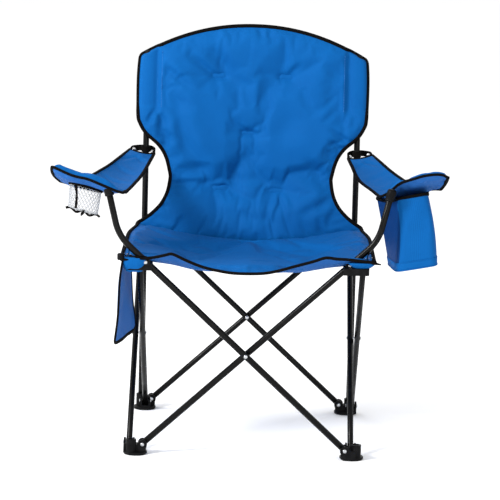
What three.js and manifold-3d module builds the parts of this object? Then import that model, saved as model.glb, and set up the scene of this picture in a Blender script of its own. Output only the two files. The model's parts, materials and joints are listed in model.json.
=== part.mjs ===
// Folding camp chair: four crossed pairs of steel tubes carry a padded seat, back and arms.
// Millimetres, +Z up, the sitter faces -Y, X to the right of someone who looks at the chair.
// The chair stands on its four feet, and the origin is under the middle of its box.

import * as THREE from "three";
import { mergeVertices } from "three/addons/utils/BufferGeometryUtils.js";
import Module from "manifold-3d";

const wasm = await Module();
wasm.setup();

// ---- driving dimensions ----

// linkage
const HALF_SPAN = 220.5; // from the middle to a tube's foot or hub pivot, on every side
const FOOT_PIVOT_Z = 22;
const HUB_RISE = 405; // from a foot pivot to a hub pivot
const PLANE_OFFSET = 13.5; // from a pivot out to the inner one of a crossed pair's two planes

// tubes
const ARM_TUBE_RADIUS = 7;
const LEG_TUBE_RADIUS = 6.5;
const POST_RADIUS = 7;
const TUBE_WALL = 1.2;
const TUBE_END = 7; // from the last pivot to the tube's end
const ARM_STRAIGHT = 50; // from the hub pivot to the arm's bend
const ARM_BEND_RADIUS = 100;
const ARM_BEND_DEG = 34;
const ARM_UPPER = 83; // from the arm's bend to its end
const POST_BEND_RISE = 193; // from the hub pivot up to the post's bend
const POST_BEND_RADIUS = 150;
const POST_LEAN_DEG = 9;
const POST_UPPER = 196; // from the post's bend to its end

// rivets
const RIVET_RADIUS = 2.2;
const RIVET_HEAD_RADIUS = 4.4;
const RIVET_HEAD_HEIGHT = 2;
const RIVET_CLEARANCE = 0.4; // from a rivet's shank to its hole
const HEAD_CLEARANCE = 0.8; // from a rivet's head to what it is let into
const TOUCH_GAP = 0.3; // between pieces that rest on each other

// feet and hubs
const CROSSING_GAP = 2; // between two arm tubes where they cross
const FORK_GAP = 0.6; // from a tube to a fork's ear
const EAR_THICKNESS = 4.2;
const EAR_RADIUS = 10.5;
const FOOT_BASE_RADIUS = 26;
const FOOT_BASE_HEIGHT = 7;
const FOOT_BASE_OFFSET = 15.5; // from a pivot out to the middle of the foot's base
const FOOT_BLOCK_HEIGHT = 22;
const POST_OFFSET = 24.5; // from a pivot out to a post's axis
const POST_CLEARANCE = 0.4; // from a post to its socket or bore
const SOCKET_WALL = 4;
const SOCKET_FLOOR = 8;
const SOCKET_HEIGHT = 34;
const HUB_BLOCK_BELOW = 18; // from the hub pivot down to the hub's underside
const HUB_BLOCK_TOP = 3; // from the hub pivot down to the block's top
const HUB_BLOCK_INSET = 14.5; // from a pivot in to the hub's inner side
const FORK_LENGTH = 24;

// caps and loops
const ARM_CAP_RADIUS = 10.5;
const ARM_CAP_LENGTH = 26;
const CAP_CLEARANCE = 0.4;
const CAP_TOP_WALL = 3;
const POST_CAP_RADIUS = 9;
const POST_CAP_LENGTH = 14;
const LOOP_BELOW_BEND = 7;
const LOOP_HEIGHT = 14;
const LOOP_WALL = 2;

// fabric
const SEAT_SIDE_REACH = 27; // from a post's axis out to the seat's side
const SEAT_FRONT_REACH = 25;
const SEAT_REAR_INSET = 45; // from a post's axis forward to the seat's rear edge
const SEAT_THICKNESS = 12;
const SEAT_FRONT_MIDDLE_DROP = 19; // heights of the seat's edges from the hub pivots
const SEAT_CORNER_RISE = 20;
const SEAT_REAR_MIDDLE_DROP = 23;
const SEAT_REAR_CORNER_RISE = 13;
const SEAT_SAG = 14;
const SEAT_SLOT_CLEARANCE = 5; // round an arm tube where it passes through the seat
const BACK_THICKNESS = 12;
const BACK_ARCH = 75; // from the top corners up to the top's middle
const BACK_CORNER_DROP = 5; // from a post's end down to the back's top corner
const BACK_SAG = 18;
const BACK_BOTTOM_STEP = 3; // from the seat's rear edge to the back's bottom edge
// the back's outline: its height over the hub pivots and its reach past the posts' axes
const BACK_OUTLINE = [
  [13, 17],
  [39, -7],
  [68, -39],
  [115, -55],
  [173, -39],
  [223, 1],
  [273, 22],
];

// armrests
const ARMREST_TIP_REACH = 119; // across, from the arm tube's end out to the armrest's tip
const ARMREST_INNER_REACH = 16; // across, from the arm tube's end in to the armrest's inner edge
const ARMREST_FRONT_REACH = 12; // from the outer tube plane forward to the front edge
const ARMREST_DEPTH = 128;
const ARMREST_THICKNESS = 10;
const ARMREST_INNER_DIP = 4; // from the arm tube's end down to the front edge's inner end
const ARMREST_TIP_RISE = 36; // from the arm tube's end up to the tip
const ARMREST_INNER_DROP = 22; // from its front edge down to its rear edge
const ARMREST_OUTER_DROP = 44;
const CAP_NOTCH = 20; // from the cap's axis to the armrest
const SLING_POST_GAP = 15; // from a post's axis forward to the sling's rear edge
const SLING_LOOP_DROP = 7; // from the post loop down to the sling's rear edge
const SLING_REAR_INSET = 16; // from a post's axis in to the sling's inner rear corner
const SLING_REAR_REACH = 36;
const SLING_FRONT_REACH = 72; // across, from the arm tube's end out to the sling's front corner
const PIECE_GAP = 1.5; // between fabric pieces that are sewn together

// cup holder
const CUP_REACH = 49; // across, from the arm tube's end to the ring's middle
const CUP_INSET = 69; // from the armrest's front edge to the ring's middle
const CUP_DROP = 6; // from the arm tube's end down to the ring's middle
const CUP_TILT_DEG = 14;
const CUP_RING_RADIUS = 37.5;
const CUP_RING_WALL = 3;
const CUP_RING_HEIGHT = 9;
const CUP_NET_INSET = 1.5; // from the ring's radius in to the net's top
const CUP_NET_TAPER = 5; // from the net's top radius to its bottom one
const CUP_NET_DEPTH = 62;
const CUP_NET_WALL = 1.6;
const CUP_BASE_HEIGHT = 3;

// cooler pouch
const COOLER_TUBE_GAP = 14; // from the arm tube's plane back to the pouch's front
const COOLER_DEPTH = 190;
const COOLER_TOP_REACH = [-24, 76]; // across, from the arm tube's end
const COOLER_BOTTOM_REACH = [16, 104];
const COOLER_BOTTOM_RISE = [-12, 4]; // from the hub pivots
const COOLER_TOP_DROP = 26; // from the arm tube's end down to the front of its top
const COOLER_TOP_SLOPE = 0.15; // the top falls this much per millimetre towards the rear
const COOLER_WALL = 5;
const COOLER_LID_THICKNESS = 4;

// side pocket
const POCKET_FRONT_REACH = 12; // from the outer tube plane forward to the pocket's front edge
const POCKET_LENGTH = 200;
const POCKET_RISE = 3; // from the hub pivot up to its mouth
const POCKET_DEPTH = 186;
const POCKET_HUB_GAP = 4.7;
const POCKET_LEAN = 15; // its bottom hangs this much further out than its top
const POCKET_THICKNESS = 12;
const POCKET_WALL = 2.5;

// facets
const TUBE_SIDES = 12;
const ROUND_SIDES = 20;
const RIVET_SIDES = 8;
const BEND_STEPS = 5;
const SEAT_COLUMNS = 14;
const SEAT_ROWS = 6;
const BACK_COLUMNS = 14;
const BACK_ROWS = 14;

// ---- worked out from them ----

const PLANE_STEP = 2 * ARM_TUBE_RADIUS + CROSSING_GAP; // between a crossed pair's two planes
const INNER_PLANE = HALF_SPAN + PLANE_OFFSET;
const OUTER_PLANE = INNER_PLANE + PLANE_STEP;
const CORNER = HALF_SPAN + POST_OFFSET;
const FOOT_BASE_CENTRE = HALF_SPAN + FOOT_BASE_OFFSET;
const HUB_BLOCK_INNER = HALF_SPAN - HUB_BLOCK_INSET;
const HUB_PIVOT_Z = FOOT_PIVOT_Z + HUB_RISE;
const POST_BEND_Z = HUB_PIVOT_Z + POST_BEND_RISE;
const LOOP_Z = POST_BEND_Z - LOOP_BELOW_BEND;
const REST_ANGLE = Math.atan2(HUB_RISE, 2 * HALF_SPAN);
const FORK_HALF = ARM_TUBE_RADIUS + FORK_GAP;
const EAR_OUT = FORK_HALF + EAR_THICKNESS;
const BLOCK_OUTER = OUTER_PLANE + EAR_OUT;
const SOCKET_RADIUS = POST_RADIUS + POST_CLEARANCE;
const TUBE_END_REACH = Math.hypot(ARM_TUBE_RADIUS, TUBE_END) + 1;
const DEG = Math.PI / 180;
const FAR = 2 * (HALF_SPAN + HUB_RISE); // longer than any piece that it cuts
const SEAT_HALF_WIDTH = CORNER + SEAT_SIDE_REACH;
const SEAT_FRONT_Y = -(CORNER + SEAT_FRONT_REACH);
const SEAT_REAR_Y = CORNER - SEAT_REAR_INSET;

// ---- materials ----

function finish(color, roughness, metalness) {
  return new THREE.MeshStandardMaterial({ color, roughness, metalness });
}

const COATED_STEEL = finish(0x17181a, 0.38, 0.4);
const BLACK_PLASTIC = finish(0x141416, 0.5, 0);
const RIVET_STEEL = finish(0xb9bcc0, 0.3, 1);
const BLUE_FABRIC = finish(0x1f66bd, 0.8, 0);
const BLACK_WEBBING = finish(0x18181b, 0.85, 0);
const PALE_NET = finish(0xc9cdd2, 0.8, 0);

// ---- the scene graph ----

const chair = new THREE.Group();

// ---- geometry helpers ----

function toSolid(geometry, matrix) {
  const bare = geometry.index ? geometry.toNonIndexed() : geometry.clone();
  bare.deleteAttribute("normal");
  bare.deleteAttribute("uv");
  if (matrix) bare.applyMatrix4(matrix);
  const merged = mergeVertices(bare, 1e-4);
  return new wasm.Manifold(new wasm.Mesh({
    numProp: 3,
    vertProperties: new Float32Array(merged.attributes.position.array),
    triVerts: new Uint32Array(merged.index.array),
  }));
}

function toGeometry(solid) {
  const cut = solid.getMesh();
  const geometry = new THREE.BufferGeometry();
  geometry.setAttribute("position", new THREE.BufferAttribute(new Float32Array(cut.vertProperties), 3));
  geometry.setIndex(new THREE.BufferAttribute(new Uint32Array(cut.triVerts), 1));
  geometry.computeVertexNormals();
  return geometry;
}

function join(solids) {
  return solids.reduce((whole, next) => whole.add(next));
}

function cut(solid, tools) {
  return tools.reduce((left, tool) => left.subtract(tool), solid);
}

function addMesh(name, solid, material, place) {
  const mesh = new THREE.Mesh(toGeometry(solid), material);
  mesh.name = name;
  if (place) {
    mesh.position.copy(place.position ?? new THREE.Vector3());
    mesh.rotation.z = place.turnZ ?? 0;
  }
  chair.add(mesh);
  return mesh;
}

// A box between two corners.
function block(low, high) {
  const size = high.map((value, axis) => value - low[axis]);
  const middle = high.map((value, axis) => (value + low[axis]) / 2);
  return toSolid(new THREE.BoxGeometry(...size), new THREE.Matrix4().makeTranslation(...middle));
}

// A round bar between two points.
function bar(from, to, radius, sides = ROUND_SIDES) {
  const start = new THREE.Vector3(...from);
  const end = new THREE.Vector3(...to);
  const along = end.clone().sub(start);
  const axis = new THREE.Vector3(0, 1, 0);
  const turn = new THREE.Quaternion().setFromUnitVectors(axis, along.clone().normalize());
  const middle = start.add(end).divideScalar(2);
  const matrix = new THREE.Matrix4().compose(middle, turn, new THREE.Vector3(1, 1, 1));
  return toSolid(new THREE.CylinderGeometry(radius, radius, along.length(), sides), matrix);
}

// A turned piece about Z, from a list of [radius, height] that closes on itself or on the axis.
function turned(profile, sides = ROUND_SIDES) {
  const points = profile.map(([radius, height]) => new THREE.Vector2(radius, height));
  const upright = new THREE.Matrix4().makeRotationX(Math.PI / 2);
  return toSolid(new THREE.LatheGeometry(points, sides), upright);
}

// The straight run from knot to knot, with the tangent at each knot halfway between its two runs.
class KnotCurve extends THREE.Curve {
  constructor(knots) {
    super();
    this.knots = knots;
  }

  getPoint(share, target = new THREE.Vector3()) {
    const last = this.knots.length - 1;
    const index = Math.min(Math.floor(share * last + 1e-6), last - 1);
    return target.copy(this.knots[index]).lerp(this.knots[index + 1], share * last - index);
  }

  getPointAt(share, target) {
    return this.getPoint(share, target);
  }

  getTangentAt(share, target = new THREE.Vector3()) {
    const last = this.knots.length - 1;
    const index = Math.round(share * last);
    const before = this.knots[Math.max(index - 1, 0)];
    const here = this.knots[index];
    const after = this.knots[Math.min(index + 1, last)];
    const coming = here.clone().sub(before).normalize();
    const going = after.clone().sub(here).normalize();
    return target.copy(coming).add(going).normalize();
  }
}

// A hollow tube with open ends along a list of knots.
function tube(knots, radius) {
  const section = new THREE.Shape();
  section.absarc(0, 0, radius, 0, 2 * Math.PI);
  const bore = new THREE.Path();
  bore.absarc(0, 0, radius - TUBE_WALL, 0, 2 * Math.PI, true);
  section.holes.push(bore);
  return toSolid(new THREE.ExtrudeGeometry(section, {
    extrudePath: new KnotCurve(knots),
    steps: knots.length - 1,
    curveSegments: TUBE_SIDES / 2,
  }));
}

// Six times the volume that a list of triangles closes in, negative if they face inwards.
function signedVolume(vertices, faces) {
  const corner = faces.map((index) => new THREE.Vector3(...vertices.slice(3 * index, 3 * index + 3)));
  let sum = 0;
  for (let first = 0; first < corner.length; first += 3) {
    sum += corner[first].dot(corner[first + 1].clone().cross(corner[first + 2]));
  }
  return sum;
}

// A closed slab between two grids of points, each point(u, v) with u and v from 0 to 1. It is
// turned the right way out, so the grids may run either way round.
function slab(columns, rows, low, high) {
  const vertices = [];
  for (const side of [low, high]) {
    for (let row = 0; row <= rows; row += 1) {
      for (let column = 0; column <= columns; column += 1) {
        vertices.push(...side(column / columns, row / rows));
      }
    }
  }
  const width = columns + 1;
  const layer = width * (rows + 1);
  const faces = [];
  const quad = (a, b, c, d) => faces.push(a, b, c, a, c, d);
  for (let row = 0; row < rows; row += 1) {
    for (let column = 0; column < columns; column += 1) {
      const corner = row * width + column;
      quad(corner, corner + width, corner + width + 1, corner + 1);
      quad(layer + corner, layer + corner + 1, layer + corner + width + 1, layer + corner + width);
    }
  }
  for (let column = 0; column < columns; column += 1) {
    const far = rows * width + column;
    quad(column, column + 1, layer + column + 1, layer + column);
    quad(far + 1, far, layer + far, layer + far + 1);
  }
  for (let row = 0; row < rows; row += 1) {
    const near = row * width;
    const far = near + columns;
    quad(near + width, near, layer + near, layer + near + width);
    quad(far, far + width, layer + far + width, layer + far);
  }
  if (signedVolume(vertices, faces) < 0) faces.reverse();
  const geometry = new THREE.BufferGeometry();
  geometry.setAttribute("position", new THREE.BufferAttribute(new Float32Array(vertices), 3));
  geometry.setIndex(faces);
  return toSolid(geometry);
}

// A value read from a table of [at, value] rows, on a smooth curve through them.
function smoothTable(table, at) {
  const last = table.length - 1;
  const index = Math.max(0, Math.min(table.findIndex(([key]) => key > at) - 1, last - 1));
  const start = at >= table[last][0] ? last - 1 : index;
  const slope = (row) => {
    const before = table[Math.max(row - 1, 0)];
    const after = table[Math.min(row + 1, last)];
    return (after[1] - before[1]) / (after[0] - before[0]);
  };
  const span = table[start + 1][0] - table[start][0];
  const share = Math.max(0, Math.min(1, (at - table[start][0]) / span));
  const square = share * share;
  const cube = square * share;
  return (2 * cube - 3 * square + 1) * table[start][1] + (cube - 2 * square + share) * span * slope(start)
    + (3 * square - 2 * cube) * table[start + 1][1] + (cube - square) * span * slope(start + 1);
}

const mix = (from, to, share) => from + (to - from) * share;

// ---- rivets ----

// A shank along Z with a low dome at each end, centred on the origin.
function rivet(grip) {
  const inner = grip / 2 + TOUCH_GAP;
  const half = [
    [RIVET_RADIUS, inner],
    [RIVET_HEAD_RADIUS, inner],
    [RIVET_HEAD_RADIUS * 0.75, inner + RIVET_HEAD_HEIGHT * 0.75],
    [0, inner + RIVET_HEAD_HEIGHT],
  ];
  const lower = half.map(([radius, height]) => [radius, -height]).reverse();
  return turned([...lower, ...half], RIVET_SIDES);
}

// Turns a piece made along Z so that it lies along X or Y.
function lieAlong(solid, axis) {
  const turn = axis === "x" ? new THREE.Matrix4().makeRotationY(Math.PI / 2)
    : new THREE.Matrix4().makeRotationX(Math.PI / 2);
  return toSolid(toGeometry(solid), turn);
}

// ---- feet and hubs: the front left one is made, and the others are turned copies ----

const CORNERS = ["front_left", "front_right", "rear_right", "rear_left"];

// The plates on both sides of a tube, and the round ears at its pivot. plane is the tube's plane.
function forkEars(plane, pivotZ, along) {
  const ears = [];
  for (const [inner, outer] of [[-EAR_OUT, -FORK_HALF], [FORK_HALF, EAR_OUT]]) {
    const from = along === "x" ? [-HALF_SPAN, plane + inner, pivotZ] : [plane + inner, -HALF_SPAN, pivotZ];
    const to = along === "x" ? [-HALF_SPAN, plane + outer, pivotZ] : [plane + outer, -HALF_SPAN, pivotZ];
    ears.push(bar(from, to, EAR_RADIUS));
  }
  return ears;
}

// The hole for a fork's rivet, and the room for its two heads.
function rivetRoom(plane, pivotZ, along) {
  const place = (offset) => (along === "x"
    ? [-HALF_SPAN, plane + offset, pivotZ]
    : [plane + offset, -HALF_SPAN, pivotZ]);
  const headEnd = EAR_OUT + RIVET_HEAD_HEIGHT + 2 * TOUCH_GAP;
  const headRoom = RIVET_HEAD_RADIUS + HEAD_CLEARANCE;
  return [
    bar(place(-EAR_OUT - 1), place(EAR_OUT + 1), RIVET_RADIUS + RIVET_CLEARANCE, RIVET_SIDES),
    bar(place(EAR_OUT), place(headEnd), headRoom, RIVET_SIDES),
    bar(place(-headEnd), place(-EAR_OUT), headRoom, RIVET_SIDES),
  ];
}

function foot() {
  const base = turned([
    [0, 0],
    [FOOT_BASE_RADIUS - 2, 0],
    [FOOT_BASE_RADIUS, 2],
    [FOOT_BASE_RADIUS, FOOT_BASE_HEIGHT - 1],
    [FOOT_BASE_RADIUS - 1, FOOT_BASE_HEIGHT],
    [0, FOOT_BASE_HEIGHT],
  ]).translate([-FOOT_BASE_CENTRE, -FOOT_BASE_CENTRE, 0]);
  const inner = -HALF_SPAN + FORK_LENGTH / 3;
  const root = -HALF_SPAN - FORK_LENGTH;
  const low = FOOT_BASE_HEIGHT / 2;
  const arms = [
    block([root, -INNER_PLANE - EAR_OUT, low], [inner, -INNER_PLANE + EAR_OUT, FOOT_BLOCK_HEIGHT]),
    block([-OUTER_PLANE - EAR_OUT, root, low], [-OUTER_PLANE + EAR_OUT, inner, FOOT_BLOCK_HEIGHT]),
  ];
  const socketTop = [-CORNER, -CORNER, SOCKET_HEIGHT];
  const socket = bar([-CORNER, -CORNER, low], socketTop, SOCKET_RADIUS + SOCKET_WALL);
  const body = join([
    base,
    ...arms,
    socket,
    ...forkEars(-INNER_PLANE, FOOT_PIVOT_Z, "x"),
    ...forkEars(-OUTER_PLANE, FOOT_PIVOT_Z, "y"),
  ]);
  const slotStart = -HALF_SPAN - TUBE_END_REACH;
  const slotFloor = FOOT_PIVOT_Z - TUBE_END_REACH;
  return cut(body, [
    block([slotStart, -INNER_PLANE - FORK_HALF, slotFloor], [0, -INNER_PLANE + FORK_HALF, FAR]),
    block([-OUTER_PLANE - FORK_HALF, slotStart, slotFloor], [-OUTER_PLANE + FORK_HALF, 0, FAR]),
    bar([-CORNER, -CORNER, SOCKET_FLOOR], [-CORNER, -CORNER, FAR], SOCKET_RADIUS),
    ...rivetRoom(-INNER_PLANE, FOOT_PIVOT_Z, "x"),
    ...rivetRoom(-OUTER_PLANE, FOOT_PIVOT_Z, "y"),
  ]);
}

function hub() {
  const floor = HUB_PIVOT_Z - HUB_BLOCK_BELOW;
  const top = HUB_PIVOT_Z - HUB_BLOCK_TOP;
  const outline = new THREE.Shape();
  const inner = -HUB_BLOCK_INNER;
  const notch = -HALF_SPAN - 2;
  const round = 9;
  outline.moveTo(-BLOCK_OUTER + round, -BLOCK_OUTER);
  outline.lineTo(inner, -BLOCK_OUTER);
  outline.lineTo(inner, notch);
  outline.lineTo(notch, inner);
  outline.lineTo(-BLOCK_OUTER, inner);
  outline.lineTo(-BLOCK_OUTER, -BLOCK_OUTER + round);
  outline.absarc(-BLOCK_OUTER + round, -BLOCK_OUTER + round, round, Math.PI, 1.5 * Math.PI);
  const lift = new THREE.Matrix4().makeTranslation(0, 0, floor);
  const plateShape = { depth: top - floor, bevelEnabled: false, curveSegments: 6 };
  const plate = new THREE.ExtrudeGeometry(outline, plateShape);
  const body = join([
    toSolid(plate, lift),
    ...forkEars(-OUTER_PLANE, HUB_PIVOT_Z, "x"),
    ...forkEars(-INNER_PLANE, HUB_PIVOT_Z, "y"),
  ]);
  const bridge = -HALF_SPAN - TUBE_END_REACH + 2;
  return cut(body, [
    block([bridge, -OUTER_PLANE - FORK_HALF, 0], [0, -OUTER_PLANE + FORK_HALF, 2 * FAR]),
    block([-FAR, -OUTER_PLANE - FORK_HALF, top], [0, -OUTER_PLANE + FORK_HALF, 2 * FAR]),
    block([-INNER_PLANE - FORK_HALF, bridge, 0], [-INNER_PLANE + FORK_HALF, 0, 2 * FAR]),
    block([-INNER_PLANE - FORK_HALF, -FAR, top], [-INNER_PLANE + FORK_HALF, 0, 2 * FAR]),
    bar([-CORNER, -CORNER, 0], [-CORNER, -CORNER, 2 * FAR], SOCKET_RADIUS),
    ...rivetRoom(-OUTER_PLANE, HUB_PIVOT_Z, "x"),
    ...rivetRoom(-INNER_PLANE, HUB_PIVOT_Z, "y"),
  ]);
}

const footSolid = foot();
const hubSolid = hub();
const forkRivetX = lieAlong(rivet(2 * EAR_OUT), "x");
const forkRivetY = lieAlong(rivet(2 * EAR_OUT), "y");

CORNERS.forEach((corner, index) => {
  const turnZ = index * Math.PI / 2;
  const turned90 = (x, y, z) => new THREE.Vector3(x, y, z).applyAxisAngle(new THREE.Vector3(0, 0, 1), turnZ);
  addMesh(`${corner}_foot`, footSolid, BLACK_PLASTIC, { turnZ });
  addMesh(`${corner}_hub`, hubSolid, BLACK_PLASTIC, { turnZ });
  const rivets = [
    ["foot_rivet_a", forkRivetY, turned90(-HALF_SPAN, -INNER_PLANE, FOOT_PIVOT_Z)],
    ["foot_rivet_b", forkRivetX, turned90(-OUTER_PLANE, -HALF_SPAN, FOOT_PIVOT_Z)],
    ["hub_rivet_a", forkRivetY, turned90(-HALF_SPAN, -OUTER_PLANE, HUB_PIVOT_Z)],
    ["hub_rivet_b", forkRivetX, turned90(-INNER_PLANE, -HALF_SPAN, HUB_PIVOT_Z)],
  ];
  for (const [name, solid, position] of rivets) {
    addMesh(`${corner}_${name}`, solid, RIVET_STEEL, { position, turnZ });
  }
});

// ---- crossed tubes: each is worked out in the plane (across, up) and set in its own plane ----

const alongTube = new THREE.Vector2(Math.cos(REST_ANGLE), Math.sin(REST_ANGLE));
const footPivot = new THREE.Vector2(-HALF_SPAN, FOOT_PIVOT_Z);
const hubPivot = new THREE.Vector2(HALF_SPAN, HUB_PIVOT_Z);

function legLine() {
  return [
    footPivot.clone().addScaledVector(alongTube, -TUBE_END),
    hubPivot.clone().addScaledVector(alongTube, TUBE_END),
  ];
}

// The arm tube goes straight past its hub, bends up and ends under the armrest.
function armLine() {
  const knots = [footPivot.clone().addScaledVector(alongTube, -TUBE_END)];
  const bendStart = hubPivot.clone().addScaledVector(alongTube, ARM_STRAIGHT);
  const normal = new THREE.Vector2(-alongTube.y, alongTube.x);
  const centre = bendStart.clone().addScaledVector(normal, ARM_BEND_RADIUS);
  const bend = ARM_BEND_DEG * DEG;
  for (let step = 0; step <= BEND_STEPS; step += 1) {
    const turn = REST_ANGLE - Math.PI / 2 + bend * step / BEND_STEPS;
    const spoke = new THREE.Vector2(Math.cos(turn), Math.sin(turn));
    knots.push(centre.clone().addScaledVector(spoke, ARM_BEND_RADIUS));
  }
  const upper = new THREE.Vector2(Math.cos(REST_ANGLE + bend), Math.sin(REST_ANGLE + bend));
  knots.push(knots[knots.length - 1].clone().addScaledVector(upper, ARM_UPPER));
  return knots;
}

// side is +1 for a tube that rises towards +X or +Y, and -1 for one that rises the other way.
function crossedTube(name, line, radius, axis, plane, side) {
  const place = ([across, up]) => (axis === "x"
    ? new THREE.Vector3(side * across, plane, up)
    : new THREE.Vector3(plane, side * across, up));
  const pivots = [
    [-HALF_SPAN, FOOT_PIVOT_Z],
    [0, (FOOT_PIVOT_Z + HUB_PIVOT_Z) / 2],
    [HALF_SPAN, HUB_PIVOT_Z],
  ];
  const reach = axis === "x" ? [0, radius + 1, 0] : [radius + 1, 0, 0];
  const holes = pivots.map((pivot) => {
    const middle = place(pivot).toArray();
    const from = middle.map((value, index) => value - reach[index]);
    const to = middle.map((value, index) => value + reach[index]);
    return bar(from, to, RIVET_RADIUS + RIVET_CLEARANCE, RIVET_SIDES);
  });
  addMesh(name, cut(tube(line.map((knot) => place(knot.toArray())), radius), holes), COATED_STEEL);
}

crossedTube("front_tube_right_arm", armLine(), ARM_TUBE_RADIUS, "x", -INNER_PLANE, 1);
crossedTube("front_tube_left_arm", armLine(), ARM_TUBE_RADIUS, "x", -OUTER_PLANE, -1);
crossedTube("left_tube_low_front", legLine(), LEG_TUBE_RADIUS, "y", -OUTER_PLANE, 1);
crossedTube("left_tube_low_rear", legLine(), LEG_TUBE_RADIUS, "y", -INNER_PLANE, -1);
crossedTube("right_tube_low_front", legLine(), LEG_TUBE_RADIUS, "y", INNER_PLANE, 1);
crossedTube("right_tube_low_rear", legLine(), LEG_TUBE_RADIUS, "y", OUTER_PLANE, -1);
crossedTube("rear_tube_low_left", legLine(), LEG_TUBE_RADIUS, "x", OUTER_PLANE, 1);
crossedTube("rear_tube_low_right", legLine(), LEG_TUBE_RADIUS, "x", INNER_PLANE, -1);

const crossingZ = (FOOT_PIVOT_Z + HUB_PIVOT_Z) / 2;
const crossingMiddle = INNER_PLANE + PLANE_STEP / 2;
for (const [name, radius, axis, x, y] of [
  ["front_cross_rivet", ARM_TUBE_RADIUS, "y", 0, -crossingMiddle],
  ["rear_cross_rivet", LEG_TUBE_RADIUS, "y", 0, crossingMiddle],
  ["left_cross_rivet", LEG_TUBE_RADIUS, "x", -crossingMiddle, 0],
  ["right_cross_rivet", LEG_TUBE_RADIUS, "x", crossingMiddle, 0],
]) {
  const solid = lieAlong(rivet(PLANE_STEP + 2 * radius), axis);
  addMesh(name, solid, RIVET_STEEL, { position: new THREE.Vector3(x, y, crossingZ) });
}

// ---- posts ----

const POST_LEAN = POST_LEAN_DEG * DEG;

// The post's line in (y, z): upright in the foot and the hub, then leaning back.
function postLine() {
  const knots = [new THREE.Vector2(CORNER, SOCKET_FLOOR + TOUCH_GAP)];
  for (let step = 0; step <= BEND_STEPS; step += 1) {
    const turn = POST_LEAN * step / BEND_STEPS;
    knots.push(new THREE.Vector2(
      CORNER + POST_BEND_RADIUS * (1 - Math.cos(turn)),
      POST_BEND_Z + POST_BEND_RADIUS * Math.sin(turn),
    ));
  }
  const upper = new THREE.Vector2(Math.sin(POST_LEAN), Math.cos(POST_LEAN));
  knots.push(knots[knots.length - 1].clone().addScaledVector(upper, POST_UPPER));
  return knots;
}

// Where the post's axis is at a height.
function postY(z) {
  const bendTop = POST_BEND_Z + POST_BEND_RADIUS * Math.sin(POST_LEAN);
  if (z <= POST_BEND_Z) return CORNER;
  if (z < bendTop) {
    return CORNER + POST_BEND_RADIUS * (1 - Math.cos(Math.asin((z - POST_BEND_Z) / POST_BEND_RADIUS)));
  }
  return CORNER + POST_BEND_RADIUS * (1 - Math.cos(POST_LEAN)) + (z - bendTop) * Math.tan(POST_LEAN);
}

// A cup-shaped cap along Z, closed at its top, with its mouth at the bottom.
function cap(radius, length, bore) {
  return turned([
    [bore, 0],
    [radius, 0],
    [radius, length - 3],
    [radius - 1, length - 0.9],
    [radius - 3, length],
    [0, length],
    [0, length - CAP_TOP_WALL],
    [bore, length - CAP_TOP_WALL],
    [bore, 0],
  ]);
}

function setAlong(solid, from, direction) {
  const axis = new THREE.Vector3(0, 0, 1);
  const turn = new THREE.Quaternion().setFromUnitVectors(axis, direction.clone().normalize());
  return toSolid(toGeometry(solid), new THREE.Matrix4().compose(from, turn, new THREE.Vector3(1, 1, 1)));
}

// A cap pushed over a tube's end, with the tube's end just short of the cap's top wall.
function capOverEnd(radius, length, tubeRadius, end, direction) {
  const along = direction.clone().normalize();
  const mouth = end.clone().addScaledVector(along, CAP_TOP_WALL + TOUCH_GAP - length);
  return setAlong(cap(radius, length, tubeRadius + CAP_CLEARANCE), mouth, along);
}

const armEnd = armLine().at(-1);
const armEndAngle = REST_ANGLE + ARM_BEND_DEG * DEG;
const armUpper = new THREE.Vector2(Math.cos(armEndAngle), Math.sin(armEndAngle));
const postEnd = postLine().at(-1);

for (const [sideName, side, armPlane] of [["left", -1, -OUTER_PLANE], ["right", 1, -INNER_PLANE]]) {
  const postKnots = postLine().map((knot) => new THREE.Vector3(side * CORNER, knot.x, knot.y));
  addMesh(`${sideName}_post`, tube(postKnots, POST_RADIUS), COATED_STEEL);
  const lean = new THREE.Vector3(0, Math.sin(POST_LEAN), Math.cos(POST_LEAN));
  const top = new THREE.Vector3(side * CORNER, postEnd.x, postEnd.y);
  const postCap = capOverEnd(POST_CAP_RADIUS, POST_CAP_LENGTH, POST_RADIUS, top, lean);
  addMesh(`${sideName}_post_cap`, postCap, BLACK_PLASTIC);
  const armTop = new THREE.Vector3(side * armEnd.x, armPlane, armEnd.y);
  const armDirection = new THREE.Vector3(side * armUpper.x, 0, armUpper.y);
  const armCap = capOverEnd(ARM_CAP_RADIUS, ARM_CAP_LENGTH, ARM_TUBE_RADIUS, armTop, armDirection);
  addMesh(`${sideName}_arm_cap`, armCap, BLACK_PLASTIC);
  const loopInner = POST_RADIUS + POST_CLEARANCE;
  const loop = turned([
    [loopInner, 0],
    [loopInner + LOOP_WALL, 0],
    [loopInner + LOOP_WALL, LOOP_HEIGHT],
    [loopInner, LOOP_HEIGHT],
    [loopInner, 0],
  ]);
  const loopBottom = [side * CORNER, postY(LOOP_Z), LOOP_Z - LOOP_HEIGHT / 2];
  addMesh(`${sideName}_post_loop`, loop.translate(loopBottom), BLACK_WEBBING);
}

// ---- seat ----

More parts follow.
